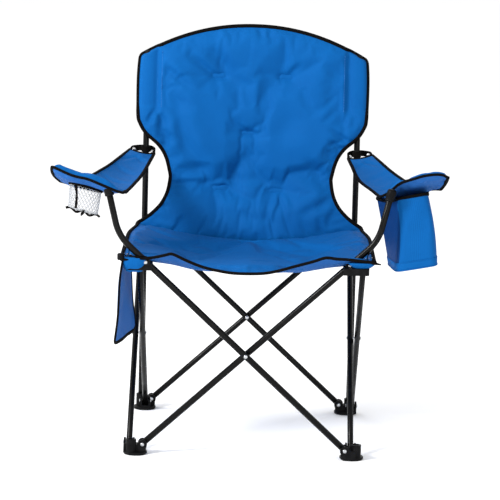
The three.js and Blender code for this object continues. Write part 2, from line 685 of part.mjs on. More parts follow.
// The seat's middle height: the front and rear edges hang between the corners, and the middle sags.
function seatZ(x, y) {
  const share = Math.min(Math.abs(x) / SEAT_HALF_WIDTH, 1);
  const frontRise = (1 - Math.cos(Math.PI * Math.min(share / 0.66, 1))) / 2;
  const front = mix(-SEAT_FRONT_MIDDLE_DROP, SEAT_CORNER_RISE, frontRise);
  const rear = mix(-SEAT_REAR_MIDDLE_DROP, SEAT_REAR_CORNER_RISE, Math.min(share / 0.93, 1) ** 2);
  const along = (y - SEAT_FRONT_Y) / (SEAT_REAR_Y - SEAT_FRONT_Y);
  const hold = (1 - Math.cos(Math.PI * Math.max(0, along * 1.25 - 0.25))) / 2;
  return HUB_PIVOT_Z + mix(front, rear, hold) - SEAT_SAG * (1 - share ** 2) * Math.sin(Math.PI * along);
}

function seatHalf(nearY, farY) {
  const level = (offset) => (u, v) => {
    const x = mix(-SEAT_HALF_WIDTH, SEAT_HALF_WIDTH, u);
    const y = mix(nearY, farY, v);
    return [x, y, seatZ(x, y) + offset];
  };
  return slab(SEAT_COLUMNS, SEAT_ROWS, level(-SEAT_THICKNESS / 2), level(SEAT_THICKNESS / 2));
}

// The window that lets an arm tube through the seat just outside its hub.
function seatWindow(side, plane) {
  const reach = ARM_TUBE_RADIUS + SEAT_SLOT_CLEARANCE;
  const x = [side * (HALF_SPAN - 9), side * (SEAT_HALF_WIDTH - 6)].sort((a, b) => a - b);
  return block([x[0], plane - reach, 0], [x[1], plane + reach, 2 * FAR]);
}

const seatFront = cut(seatHalf(SEAT_FRONT_Y, -PIECE_GAP / 2), [
  seatWindow(-1, -OUTER_PLANE),
  seatWindow(1, -INNER_PLANE),
]);
addMesh("seat_front", seatFront, BLUE_FABRIC);
addMesh("seat_rear", seatHalf(PIECE_GAP / 2, SEAT_REAR_Y), BLUE_FABRIC);

// ---- back ----

const backTopCorner = postEnd.y - BACK_CORNER_DROP;
const backOutline = BACK_OUTLINE.map(([rise, reach]) => [HUB_PIVOT_Z + rise, CORNER + reach]);
backOutline.push([backTopCorner, backOutline.at(-1)[1]]);
const backSideBottom = backOutline[0][0];
const seatRearMiddle = HUB_PIVOT_Z - SEAT_REAR_MIDDLE_DROP;

// The back's middle surface: in front of the posts, curved to the rear between them, and forward
// to the seat at the bottom. across is -1 to 1 and up is 0 to 1.
function backPoint(across, up) {
  const sideZ = mix(backSideBottom, backTopCorner, up);
  const x = across * smoothTable(backOutline, sideZ);
  const bottom = mix(seatRearMiddle, backSideBottom + 8, Math.abs(across) ** 2);
  const top = backTopCorner + BACK_ARCH * (1 - Math.abs(across) ** 2.3);
  const z = mix(bottom, top, up);
  const front = postY(Math.min(z, postEnd.y)) - POST_CAP_RADIUS - PIECE_GAP - BACK_THICKNESS / 2;
  const seatLine = SEAT_REAR_Y + BACK_BOTTOM_STEP + BACK_THICKNESS / 2;
  const rise = (1 - Math.cos(Math.PI * Math.min(1, up / 0.3))) / 2;
  const sag = BACK_SAG * (1 - Math.min(1, Math.abs(x) / (CORNER - POST_RADIUS - BACK_THICKNESS)) ** 2);
  return [x, mix(seatLine, front, rise) + Math.max(0, sag) * Math.sin(Math.PI * up), z];
}

function backSolid() {
  const face = (offset) => (u, v) => {
    const [x, y, z] = backPoint(2 * u - 1, v);
    return [x, y + offset, z];
  };
  return slab(BACK_COLUMNS, BACK_ROWS, face(BACK_THICKNESS / 2), face(-BACK_THICKNESS / 2));
}

// The room that a rear hub takes, with a gap round it.
function hubRoom(side) {
  const inner = HUB_BLOCK_INNER - PIECE_GAP;
  const outer = BLOCK_OUTER + PIECE_GAP;
  const top = HUB_PIVOT_Z + EAR_RADIUS + PIECE_GAP;
  return block([side < 0 ? -outer : inner, inner, FOOT_PIVOT_Z], [side < 0 ? -inner : outer, outer, top]);
}

addMesh("back", cut(backSolid(), [hubRoom(-1), hubRoom(1)]), BLUE_FABRIC);

// ---- armrests ----

const ARMREST_TIP_X = armEnd.x + ARMREST_TIP_REACH;
const ARMREST_INNER_X = armEnd.x - ARMREST_INNER_REACH;
const ARMREST_FRONT_Y = -(OUTER_PLANE + ARMREST_FRONT_REACH);
const ARMREST_INNER_Z = armEnd.y - ARMREST_INNER_DIP;
const ARMREST_TIP_Z = armEnd.y + ARMREST_TIP_RISE;

// The stiff front part: its front edge rises outwards and it falls towards the rear.
function armrestZ(distance, y) {
  const out = (distance - ARMREST_INNER_X) / (ARMREST_TIP_X - ARMREST_INNER_X);
  const back = (y - ARMREST_FRONT_Y) / ARMREST_DEPTH;
  return mix(ARMREST_INNER_Z, ARMREST_TIP_Z, out) - mix(ARMREST_INNER_DROP, ARMREST_OUTER_DROP, out) * back;
}

function armrestPad(side, armPlane) {
  const level = (offset) => (u, v) => {
    const distance = mix(ARMREST_INNER_X, ARMREST_TIP_X, u);
    const y = mix(ARMREST_FRONT_Y, ARMREST_FRONT_Y + ARMREST_DEPTH, v);
    return [side * distance, y, armrestZ(distance, y) + offset];
  };
  const pad = slab(4, 4, level(-ARMREST_THICKNESS / 2), level(ARMREST_THICKNESS / 2));
  const notchX = [side * (ARMREST_INNER_X - 1), side * (armEnd.x + CAP_NOTCH)].sort((a, b) => a - b);
  return cut(pad, [block([notchX[0], -FAR, 0], [notchX[1], armPlane + CAP_NOTCH - 4, 2 * FAR])]);
}

// The loose cloth from the stiff part's rear edge to the post.
function armrestSling(side) {
  const frontY = ARMREST_FRONT_Y + ARMREST_DEPTH + PIECE_GAP;
  const rearY = CORNER - SLING_POST_GAP;
  const rearZ = LOOP_Z - SLING_LOOP_DROP;
  const level = (offset) => (u, v) => {
    const front = mix(ARMREST_INNER_X, armEnd.x + SLING_FRONT_REACH, u);
    const rear = CORNER + mix(-SLING_REAR_INSET, SLING_REAR_REACH, u);
    const z = mix(armrestZ(front, frontY), rearZ, v);
    return [side * mix(front, rear, v), mix(frontY, rearY, v), z + offset];
  };
  return slab(3, 4, level(-ARMREST_THICKNESS / 2), level(ARMREST_THICKNESS / 2));
}

// Turns a piece about Y at the cup holder's ring, with its outer side up.
const cupMiddle = [-(armEnd.x + CUP_REACH), ARMREST_FRONT_Y + CUP_INSET, armEnd.y - CUP_DROP];
const cupPlace = new THREE.Matrix4().makeTranslation(...cupMiddle)
  .multiply(new THREE.Matrix4().makeRotationY(CUP_TILT_DEG * DEG));
const cupPiece = (solid) => toSolid(toGeometry(solid), cupPlace);

const ringHole = cupPiece(turned([
  [0, -FAR / 8],
  [CUP_RING_RADIUS + PIECE_GAP / 2, -FAR / 8],
  [CUP_RING_RADIUS + PIECE_GAP / 2, FAR / 8],
  [0, FAR / 8],
]));
addMesh("left_armrest_pad", cut(armrestPad(-1, -OUTER_PLANE), [ringHole]), BLUE_FABRIC);
addMesh("right_armrest_pad", armrestPad(1, -INNER_PLANE), BLUE_FABRIC);
addMesh("left_armrest_sling", armrestSling(-1), BLUE_FABRIC);
addMesh("right_armrest_sling", armrestSling(1), BLUE_FABRIC);

// ---- cup holder ----

const CUP_NET_TOP_RADIUS = CUP_RING_RADIUS - CUP_NET_INSET;
const CUP_NET_BOTTOM_RADIUS = CUP_NET_TOP_RADIUS - CUP_NET_TAPER;
const ringBottom = -CUP_RING_HEIGHT / 2;
addMesh("cup_ring", cupPiece(turned([
  [CUP_RING_RADIUS - CUP_RING_WALL, ringBottom],
  [CUP_RING_RADIUS, ringBottom],
  [CUP_RING_RADIUS, -ringBottom],
  [CUP_RING_RADIUS - CUP_RING_WALL, -ringBottom],
  [CUP_RING_RADIUS - CUP_RING_WALL, ringBottom],
])), BLACK_WEBBING);
const netTop = ringBottom - TOUCH_GAP;
const netBottom = netTop - CUP_NET_DEPTH;
addMesh("cup_net", cupPiece(turned([
  [0, netBottom],
  [CUP_NET_BOTTOM_RADIUS, netBottom],
  [CUP_NET_TOP_RADIUS, netTop],
  [CUP_NET_TOP_RADIUS - CUP_NET_WALL, netTop],
  [CUP_NET_BOTTOM_RADIUS - CUP_NET_WALL, netBottom + CUP_NET_WALL],
  [0, netBottom + CUP_NET_WALL],
])), PALE_NET);
const ribbonTop = netBottom - TOUCH_GAP;
const ribbonHalf = 5;
const ribbonReach = CUP_NET_BOTTOM_RADIUS + 2;
addMesh("cup_base", cupPiece(join([
  block([-ribbonReach, -ribbonHalf, ribbonTop - CUP_BASE_HEIGHT], [ribbonReach, ribbonHalf, ribbonTop]),
  block([-ribbonHalf, -ribbonReach, ribbonTop - CUP_BASE_HEIGHT], [ribbonHalf, ribbonReach, ribbonTop]),
])), BLACK_WEBBING);

// ---- cooler pouch ----

const COOLER_FRONT_Y = COOLER_TUBE_GAP - INNER_PLANE;
const COOLER_REAR_Y = COOLER_FRONT_Y + COOLER_DEPTH;
const COOLER_TOP_X = COOLER_TOP_REACH.map((reach) => armEnd.x + reach);
const COOLER_BOTTOM_X = COOLER_BOTTOM_REACH.map((reach) => armEnd.x + reach);
const COOLER_BOTTOM_Z = COOLER_BOTTOM_RISE.map((rise) => HUB_PIVOT_Z + rise);

const coolerTop = (y) => armEnd.y - COOLER_TOP_DROP - COOLER_TOP_SLOPE * (y - COOLER_FRONT_Y);

// A tapered block: x, y and z of its corners from shares 0 to 1, each wall moved in by inset.
function coolerBlock(inset, floorInset, raise) {
  const bottom = (u, v) => [
    mix(COOLER_BOTTOM_X[0] + inset, COOLER_BOTTOM_X[1] - inset, u),
    mix(COOLER_FRONT_Y + inset, COOLER_REAR_Y - inset, v),
    mix(COOLER_BOTTOM_Z[0], COOLER_BOTTOM_Z[1], u) + floorInset,
  ];
  const top = (u, v) => {
    const y = mix(COOLER_FRONT_Y + inset, COOLER_REAR_Y - inset, v);
    return [mix(COOLER_TOP_X[0] + inset, COOLER_TOP_X[1] - inset, u), y, coolerTop(y) + raise];
  };
  return slab(1, 1, bottom, top);
}

addMesh("cooler_bag", cut(coolerBlock(0, 0, 0), [coolerBlock(COOLER_WALL, COOLER_WALL, 0.01)]), BLUE_FABRIC);
const lidLevel = (raise) => (u, v) => {
  const y = mix(COOLER_FRONT_Y, COOLER_REAR_Y, v);
  return [mix(COOLER_TOP_X[0], COOLER_TOP_X[1], u), y, coolerTop(y) + raise];
};
const lid = slab(1, 1, lidLevel(TOUCH_GAP), lidLevel(TOUCH_GAP + COOLER_LID_THICKNESS));
addMesh("cooler_lid", lid, BLUE_FABRIC);

// ---- side pocket: two sheets joined at the bottom and the ends, open at the top ----

const POCKET_FRONT_Y = -(OUTER_PLANE + POCKET_FRONT_REACH);
const POCKET_REAR_Y = POCKET_FRONT_Y + POCKET_LENGTH;
const POCKET_TOP_Z = HUB_PIVOT_Z + POCKET_RISE;
const POCKET_BOTTOM_Z = POCKET_TOP_Z - POCKET_DEPTH;
const POCKET_TOP_X = BLOCK_OUTER + POCKET_HUB_GAP;

const pocketFace = (distance, endInset, low, high) => (u, v) => {
  const z = mix(low, high, v);
  const out = POCKET_LEAN * (POCKET_TOP_Z - z) / (POCKET_TOP_Z - POCKET_BOTTOM_Z);
  return [-(distance + out), mix(POCKET_FRONT_Y + endInset, POCKET_REAR_Y - endInset, u), z];
};
const pocketOuter = POCKET_TOP_X + POCKET_THICKNESS;
const pocketSlab = (inset, low, high) => slab(
  1,
  1,
  pocketFace(POCKET_TOP_X + inset, inset, low, high),
  pocketFace(pocketOuter - inset, inset, low, high),
);
const pocketRoom = pocketSlab(POCKET_WALL, POCKET_BOTTOM_Z + POCKET_WALL, POCKET_TOP_Z + 1);
addMesh("side_pocket", cut(pocketSlab(0, POCKET_BOTTOM_Z, POCKET_TOP_Z), [pocketRoom]), BLUE_FABRIC);

// ---- the origin goes under the middle of the box ----

const box = new THREE.Box3().setFromObject(chair, true);
const middle = box.getCenter(new THREE.Vector3());
chair.position.set(-middle.x, -middle.y, -box.min.z);

const group = new THREE.Group();
group.add(chair);

export default group;
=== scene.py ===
"""Folding camp chair: padded blue cloth on a black folding frame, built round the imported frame.

Lengths inside the script are millimetres from the middle of the four feet on the floor, X to
the right of someone who looks at the chair, -Y towards them, +Z up. place() turns them into
metres in the frame's own space.
"""
import bmesh
import bpy
import json
import math
import numpy as np
from mathutils import Matrix, Vector


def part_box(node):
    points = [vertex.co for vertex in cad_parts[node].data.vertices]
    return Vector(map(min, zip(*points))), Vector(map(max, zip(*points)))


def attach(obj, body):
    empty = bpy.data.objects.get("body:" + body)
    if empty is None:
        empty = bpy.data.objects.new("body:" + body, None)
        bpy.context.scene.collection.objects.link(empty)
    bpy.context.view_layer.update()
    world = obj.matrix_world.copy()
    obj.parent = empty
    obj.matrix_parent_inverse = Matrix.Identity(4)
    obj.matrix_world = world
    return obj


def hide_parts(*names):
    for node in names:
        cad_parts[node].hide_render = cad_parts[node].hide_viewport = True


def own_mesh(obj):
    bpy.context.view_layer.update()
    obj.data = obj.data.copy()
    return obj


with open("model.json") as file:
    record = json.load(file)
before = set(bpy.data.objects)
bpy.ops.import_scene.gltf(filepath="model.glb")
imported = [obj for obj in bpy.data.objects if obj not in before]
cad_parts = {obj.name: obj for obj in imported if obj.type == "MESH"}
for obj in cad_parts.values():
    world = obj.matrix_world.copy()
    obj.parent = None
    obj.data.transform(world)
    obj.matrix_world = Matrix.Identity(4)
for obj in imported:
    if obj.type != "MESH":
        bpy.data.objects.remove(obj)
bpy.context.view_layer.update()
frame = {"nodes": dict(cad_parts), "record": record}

bl_info = {
    "name": "Folding camp chair",
    "version": (1, 0, 0),
    "blender": (4, 5, 0),
    "location": "3D View > Sidebar > Camp chair",
    "description": "Builds the cloth, cover and finish of a folding camp chair round its frame",
    "category": "Object",
}

MM = 0.001
CORNERS = ("front_left", "front_right", "rear_right", "rear_left")
SIDES = (("left", -1), ("right", 1))


def corner_boxes(kind):
    """The boxes of one node on each of the four corners, as an array of low and high corners."""
    return np.array([[list(c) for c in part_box(f"{corner}_{kind}")] for corner in CORNERS])


# The middle of the four feet, which the millimetres are measured from.
FEET = corner_boxes("foot")
MIDDLE = np.array([*((FEET[:, 0].min(0) + FEET[:, 1].max(0)) / 2)[:2], 0.0])


def place(points):
    """Millimetres from the middle of the feet as metres in the frame's space."""
    return np.asarray(points, float) * MM + MIDDLE


def measured(node):
    """Low corner, high corner and middle of a node of the frame, in millimetres."""
    low, high = ((np.array(c) - MIDDLE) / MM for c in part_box(node))
    return low, high, (low + high) / 2


# ---- sizes read off the frame ----

FOOT_PIVOT = measured("front_left_foot_rivet_a")[2]
HUB_Z = measured("front_left_hub_rivet_a")[2][2]
SPAN = -FOOT_PIVOT[0]
FOOT_Z = FOOT_PIVOT[2]
REST = math.atan2(HUB_Z - FOOT_Z, 2 * SPAN)
POST_X = measured("right_post")[2][0]
PAD_HIGH = measured("right_armrest_pad")[1]
RING = measured("cup_ring")[2]
POCKET_LOW, POCKET_HIGH, _ = measured("side_pocket")
COOLER_LOW, COOLER_HIGH, _ = measured("cooler_bag")
LOOP = measured("right_post_loop")[2]

# ---- sizes of the bent tubes, as the frame has them ----

TUBE_END = 7
ARM_RADIUS = 7
LEG_RADIUS = 6.5
POST_RADIUS = 7
ARM_STRAIGHT = 50
ARM_BEND_RADIUS = 100
ARM_BEND = math.radians(34)
ARM_UPPER = 83
POST_BEND_Z = LOOP[2] + 7
POST_BEND_RADIUS = 150
POST_LEAN = math.radians(9)
POST_UPPER = 196
POST_FLOOR = 8.3

TURN = np.linspace(0, 2 * np.pi, 48, endpoint=False)  # angles once round a ring


# ---- number helpers ----

def linear(hex_colour):
    """An sRGB hex colour as linear RGBA."""
    values = [int(hex_colour[i:i + 2], 16) / 255 for i in (1, 3, 5)]
    return (*[v / 12.92 if v <= 0.04045 else ((v + 0.055) / 1.055) ** 2.4 for v in values], 1.0)


def mix(a, b, share):
    """The straight-line value between a and b."""
    return a + (b - a) * share


def ease(low, high, value):
    """0 below low, 1 above high, and the cubic 3t^2 - 2t^3 between."""
    t = np.clip((value - low) / (high - low), 0, 1)
    return t * t * (3 - 2 * t)


def hump(value, middle, width):
    """A bell curve, 1 at middle and exp(-1) a width away."""
    return np.exp(-((value - middle) / width) ** 2)


def unit(vectors):
    """Each vector divided by its length."""
    return vectors / np.maximum(np.linalg.norm(vectors, axis=-1, keepdims=True), 1e-12)


def spline(points, count):
    """Evenly spaced points on the Catmull-Rom curve through a short list of points."""
    p = np.asarray(points, float)
    p = np.vstack([2 * p[0] - p[1], p, 2 * p[-1] - p[-2]])
    at = np.linspace(0, len(p) - 3, 24 * (len(p) - 3) + 1)
    i = np.minimum(at.astype(int), len(p) - 4)
    t = (at - i)[:, None]
    a, b, c, d = p[i], p[i + 1], p[i + 2], p[i + 3]
    fine = 0.5 * (2 * b + (c - a) * t + (2 * a - 5 * b + 4 * c - d) * t ** 2
                  + (3 * b - a - 3 * c + d) * t ** 3)
    return resample(fine, count)


def resample(line, count):
    """The same line with count points at equal distances along it."""
    run = np.concatenate([[0], np.cumsum(np.linalg.norm(np.diff(line, axis=0), axis=1))])
    at = np.linspace(0, run[-1], count)
    return np.stack([np.interp(at, run, line[:, axis]) for axis in range(line.shape[1])], axis=1)


def length_of(line):
    """The length of a line of points."""
    return float(np.linalg.norm(np.diff(line, axis=0), axis=1).sum())


def post_y(z):
    """The post's axis: upright to the bend, an arc of POST_BEND_RADIUS, then a straight lean."""
    rise = POST_BEND_RADIUS * math.sin(POST_LEAN)
    up = np.clip((z - POST_BEND_Z) / POST_BEND_RADIUS, 0, math.sin(POST_LEAN))
    arc = POST_BEND_RADIUS * (1 - np.sqrt(1 - up ** 2))
    return POST_X + arc + np.maximum(z - POST_BEND_Z - rise, 0) * math.tan(POST_LEAN)


# ---- mesh helpers ----

def signed_volume(points, quads):
    """A sixth of the sum of a . (b x c) over the two triangles of each quad, about the middle."""
    a, b, c, d = (points[quads[:, i]] - points.mean(0) for i in range(4))
    return float(((a * np.cross(b, c)).sum() + (a * np.cross(c, d)).sum()) / 6)


def new_piece(name, points, faces, material, uv=None, smooth=True):
    """A mesh object from millimetre points and faces, with one UV per face corner in metres."""
    mesh = bpy.data.meshes.new(name)
    mesh.from_pydata(place(points), [], [list(map(int, f)) for f in faces])
    if uv is not None:
        layer = mesh.uv_layers.new(name="cloth")
        layer.data.foreach_set("uv", np.asarray(uv, np.float32).ravel())
    mesh.polygons.foreach_set("use_smooth", np.full(len(mesh.polygons), smooth))
    mesh.materials.append(material)
    mesh.update()
    piece = bpy.data.objects.new(name, mesh)
    bpy.context.scene.collection.objects.link(piece)
    return piece


def grid_quads(rows, columns, wrap_rows=False, wrap_columns=False):
    """Quads of a grid of points, and the grid places (row, column) that their corners take."""
    r, c = np.meshgrid(np.arange(rows - (not wrap_rows)), np.arange(columns - (not wrap_columns)),
                       indexing="ij")
    r, c = r.ravel(), c.ravel()
    places = np.stack([np.stack([r, c], 1), np.stack([r, c + 1], 1),
                       np.stack([r + 1, c + 1], 1), np.stack([r + 1, c], 1)], 1)
    quads = (places[..., 0] % rows) * columns + places[..., 1] % columns
    return quads, places


def sweep(name, rings, material, closed_path=False, width=None):
    """A skin over rings (steps, corners, 3), each ring closed on itself. The two end rings are
    filled with a fan to their middle, or joined to each other if closed_path."""
    steps, corners = rings.shape[:2]
    quads, places = grid_quads(steps, corners, closed_path, True)
    points = rings.reshape(-1, 3)
    along = np.concatenate([[0], np.cumsum(np.linalg.norm(
        np.diff(np.vstack([rings.mean(1), rings.mean(1)[:1]]), axis=0), axis=1))]) * MM
    girth = (width or float(np.linalg.norm(np.diff(rings[steps // 2], axis=0), axis=1).sum())) * MM
    uv = np.stack([places[..., 1] / corners * girth, along[places[..., 0]]], -1)
    inside_out = signed_volume(points, quads) < 0
    if inside_out:
        quads, uv = quads[:, ::-1], uv[:, ::-1]
    faces = quads.tolist()
    uvs = [uv.reshape(-1, 2)]
    if not closed_path:
        for ring, forward in ((0, inside_out), (steps - 1, not inside_out)):
            points = np.vstack([points, rings[ring].mean(0)])
            rim = np.arange(corners) + ring * corners
            pairs = np.stack([rim, np.roll(rim, -1)], 1)[:, ::1 if forward else -1]
            faces += np.column_stack([pairs, np.full(corners, len(points) - 1)]).tolist()
            uvs.append(np.zeros((3 * corners, 2)) + [0, along[ring]])
    return new_piece(name, points, faces, material, np.vstack(uvs))


def framed(path, up_hint, closed=False):
    """Unit side and up vectors along a path, up as near up_hint as the path's direction lets."""
    if closed:
        tangent = unit(np.roll(path, -1, 0) - np.roll(path, 1, 0))
    else:
        tangent = unit(np.gradient(path, axis=0))
    hint = np.broadcast_to(np.asarray(up_hint, float), path.shape)
    up = unit(hint - (hint * tangent).sum(1, keepdims=True) * tangent)
    return np.cross(tangent, up), up


def carry(name, path, up_hint, section, material, closed=False, scale=None):
    """A section (corners, 2), across and up, carried along a path."""
    side, up = framed(path, up_hint, closed)
    size = np.ones(len(path)) if scale is None else scale
    rings = (path[:, None] + side[:, None] * section[None, :, :1] * size[:, None, None]
             + up[:, None] * section[None, :, 1:] * size[:, None, None])
    return sweep(name, rings, material, closed)


def oval(half_across, half_up, corners=12, power=2.0):
    """A superellipse section: |x/a|^p + |y/b|^p = 1."""
    t = np.linspace(0, 2 * np.pi, corners, endpoint=False)
    x, y = np.cos(t), np.sin(t)
    return np.stack([half_across * np.sign(x) * np.abs(x) ** (2 / power),
                     half_up * np.sign(y) * np.abs(y) ** (2 / power)], 1)


def turned(name, profile, start, direction, material, sides=32):
    """A lathe piece: a profile of (height, radius) about a line from start along direction."""
    profile = np.asarray(profile, float)
    axis = unit(np.asarray(direction, float)[None])[0]
    helper = np.array([0, 1.0, 0]) if abs(axis[1]) < 0.9 else np.array([1.0, 0, 0])
    across = unit(np.cross(axis, helper)[None])[0]
    over = np.cross(axis, across)
    t = np.linspace(0, 2 * np.pi, sides, endpoint=False)
    spoke = np.cos(t)[:, None] * across + np.sin(t)[:, None] * over
    rings = (np.asarray(start, float) + profile[:, :1, None] * axis
             + profile[:, 1:, None] * spoke[None])
    return sweep(name, rings, material)


def join(name, pieces):
    """One object out of several, which keep their own materials."""
    with bpy.context.temp_override(active_object=pieces[0], selected_editable_objects=pieces):
        bpy.ops.object.join()
    pieces[0].name = name
    pieces[0].data.name = name
    return pieces[0]


def smoother(piece, levels=1):
    """A Subdivision Surface modifier that rounds a piece."""
    modifier = piece.modifiers.new("round", "SUBSURF")
    modifier.levels = modifier.render_levels = levels
    return piece


def repeated(name, template_points, template_faces, places_at, axes, material):
    """Copies of a small solid, one at each place with its own three axes, as one mesh."""
    points = places_at[:, None] + np.einsum("kc,nca->nka", template_points, axes)
    count = len(template_points)
    faces = (template_faces[None] + count * np.arange(len(places_at))[:, None, None])
    return new_piece(name, points.reshape(-1, 3), faces.reshape(-1, 4), material)


def paint_facing(piece, axis, limit):
    """Gives the faces whose normal is below the limit on an axis the piece's second material."""
    normal = np.zeros(len(piece.data.polygons) * 3)
    piece.data.polygons.foreach_get("normal", normal)
    facing = normal.reshape(-1, 3)[:, axis] < limit
    piece.data.polygons.foreach_set("material_index", facing.astype(np.int32))


STITCH_FACES = np.array([[0, 3, 2, 1], [0, 1, 5, 4], [1, 2, 6, 5], [2, 3, 7, 6], [3, 0, 4, 7],
                         [4, 5, 9, 8], [5, 6, 10, 9], [6, 7, 11, 10], [7, 4, 8, 11],
                         [8, 9, 10, 11]])


def stitch_points(length, radius):
    """Three square rings of a thread that dips into the cloth at both ends of its length."""
    square = np.array([[-1, -1], [1, -1], [1, 1], [-1, 1]]) * radius
    rings = [np.column_stack([np.full(4, x), square * size + [0, lift]])
             for x, size, lift in ((-length / 2, 0.6, -radius), (0, 1, radius * 0.4),
                                   (length / 2, 0.6, -radius))]
    return np.vstack(rings)


def stitches(name, line, outward, material, pitch=6.0, length=3.6, radius=0.55):
    """A row of lockstitch along a line: one short thread every pitch."""
    spots = resample(line, max(3, int(length_of(line) / pitch)))
    along = unit(np.gradient(spots, axis=0))
    up = np.broadcast_to(np.asarray(outward, float), spots.shape)
    up = unit(up - (up * along).sum(1, keepdims=True) * along)
    axes = np.stack([along, np.cross(up, along), up], 1)
    return repeated(name, stitch_points(length, radius), STITCH_FACES, spots, axes, material)


# ---- padded panels ----

def normals_of(grid):
    """Unit normals of a grid of points, from the cross product of its two directions."""
    return unit(np.cross(np.gradient(grid, axis=1), np.gradient(grid, axis=0)))


def layered(front, rear, open_row=None):
    """Two grids made one closed skin. They share their border, except on open_row (0 or -1),
    where a wall joins them. Returns points, faces and the rear grid's point numbers."""
    rows, columns = front.shape[:2]
    shared = np.zeros((rows, columns), bool)
    shared[[0, -1], :] = True
    shared[:, [0, -1]] = True
    if open_row is not None:
        shared[open_row, 1:-1] = False
    front_id = np.arange(rows * columns).reshape(rows, columns)
    rear_id = front_id.copy()
    rear_id[~shared] = rows * columns + np.arange((~shared).sum())
    points = np.vstack([front.reshape(-1, 3), rear[~shared]])
    quads, places = grid_quads(rows, columns)
    rear_quads = rear_id.ravel()[quads][:, ::-1]
    faces = np.vstack([quads, rear_quads])
    spots = np.vstack([places, places[:, ::-1]])
    inside_out = signed_volume(points, faces) < 0
    if inside_out:
        faces, spots = faces[:, ::-1], spots[:, ::-1]
    polygons, corners = faces.tolist(), spots.reshape(-1, 2).tolist()
    if open_row is not None:
        row = 0 if open_row == 0 else rows - 1
        for k in range(columns - 1):
            wall = [front_id[row, k], front_id[row, k + 1], rear_id[row, k + 1], rear_id[row, k]]
            onward = (open_row == 0) == inside_out
            ring = list(dict.fromkeys(wall if onward else wall[::-1]))
            polygons.append([int(i) for i in ring])
            corners.extend([[row, k]] * len(ring))
    return points, polygons, np.array(corners), rear_id


def panel(name, front, rear, flat, material, open_row=None):
    """A padded piece from two grids, with the cloth's flat coordinates (rows, columns, 2)."""
    points, polygons, corners, rear_id = layered(front, rear, open_row)
    uv = flat[corners[:, 0], corners[:, 1]] * MM
    piece = new_piece(name, points, polygons, material, uv)
    if open_row is not None:
        row = 0 if open_row == 0 else front.shape[0] - 1
        rim = np.concatenate([np.arange(front.shape[1]) + row * front.shape[1], rear_id[row]])
        edges = np.zeros(len(piece.data.edges) * 2, int)
        piece.data.edges.foreach_get("vertices", edges)
        on_rim = np.isin(edges.reshape(-1, 2), rim).all(1)
        crease = piece.data.attributes.new("crease_edge", "FLOAT", "EDGE")
        crease.data.foreach_set("value", on_rim.astype(np.float32))
        sharp = piece.data.attributes.new("sharp_edge", "BOOLEAN", "EDGE")
        sharp.data.foreach_set("value", on_rim)
    return smoother(piece)


def inflate(front, rear, held, pressure, most, slack=0.03, steps=20):
    """Blows two sewn grids up as cloth. held is 1 where the cloth is sewn down and 0 where it is
    free, most is how far a point may move. Returns the two grids as they settle."""
    points, polygons, _, rear_id = layered(front, rear)
    mesh = bpy.data.meshes.new("inflating")
    mesh.from_pydata(points * MM, [], polygons)
    cloth_object = bpy.data.objects.new("inflating", mesh)
    bpy.context.scene.collection.objects.link(cloth_object)
    weight = np.zeros(len(points))
    weight[:held.size] = held.ravel()
    weight[rear_id.ravel()] = np.maximum(weight[rear_id.ravel()], held.ravel())
    group = cloth_object.vertex_groups.new(name="held")
    for level in np.unique(np.round(weight, 2)):
        chosen = np.flatnonzero(np.round(weight, 2) == level)
        group.add(chosen.tolist(), float(level), "REPLACE")
    modifier = cloth_object.modifiers.new("cloth", "CLOTH")
    cloth = modifier.settings
    cloth.quality = 5
    cloth.mass = 0.3
    cloth.tension_stiffness = cloth.compression_stiffness = 12
    cloth.shear_stiffness = 4
    cloth.bending_stiffness = 0.4
    cloth.use_pressure = True
    cloth.uniform_pressure_force = pressure
    cloth.shrink_min = -slack
    cloth.vertex_group_mass = "held"
    cloth.effector_weights.gravity = 0
    modifier.collision_settings.use_collision = False
    for step in range(1, steps + 1):
        bpy.context.scene.frame_set(step)
    settled = cloth_object.evaluated_get(bpy.context.evaluated_depsgraph_get()).to_mesh()
    moved = np.zeros(len(points) * 3)
    settled.vertices.foreach_get("co", moved)
    moved = moved.reshape(-1, 3) / MM - points
    far = np.linalg.norm(moved, axis=1, keepdims=True)
    points = points + moved * np.minimum(1, most / np.maximum(far, 1e-9))
    bpy.data.objects.remove(cloth_object)
    bpy.context.scene.frame_set(1)
    return points[:held.size].reshape(front.shape), points[rear_id]


def crease(x, y, folds):
    """Depth of a set of folds at (x, y). Each fold is (x0, y0, x1, y1, width, depth): a valley
    along the segment with a softer ridge beside it, fading past its ends."""
    total = np.zeros_like(x)
    for x0, y0, x1, y1, width, depth in folds:
        run = np.array([x1 - x0, y1 - y0], float)
        size = np.linalg.norm(run)
        along = ((x - x0) * run[0] + (y - y0) * run[1]) / size
        across = ((x - x0) * -run[1] + (y - y0) * run[0]) / size
        fade = ease(-0.25 * size, 0.3 * size, along) * (1 - ease(0.7 * size, 1.25 * size, along))
        total += depth * fade * (hump(across, 0, width) - 0.55 * hump(across, 2 * width, 1.3 * width))
    return total


# ---- materials ----

def add(tree, kind, settings=(), links=()):
    """Adds a node. settings hold its properties or its sockets' values, by name or number, and
    links hold what feeds its sockets."""
    node = tree.nodes.new("ShaderNode" + kind)
    for key, value in dict(settings).items():
        if isinstance(key, str) and hasattr(node, key):
            setattr(node, key, value)
        else:
            node.inputs[key].default_value = value
    for key, source in dict(links).items():
        tree.links.new(source, node.inputs[key])
    return node


def new_material(name, **values):
    """A material and its Principled shader, with uniform values set on the shader's sockets."""
    material = bpy.data.materials.new(name)
    material.use_nodes = True
    shader = material.node_tree.nodes["Principled BSDF"]
    for key, value in values.items():
        shader.inputs[key.replace("_", " ").title().replace("Ior", "IOR")].default_value = value
    return material, material.node_tree, shader


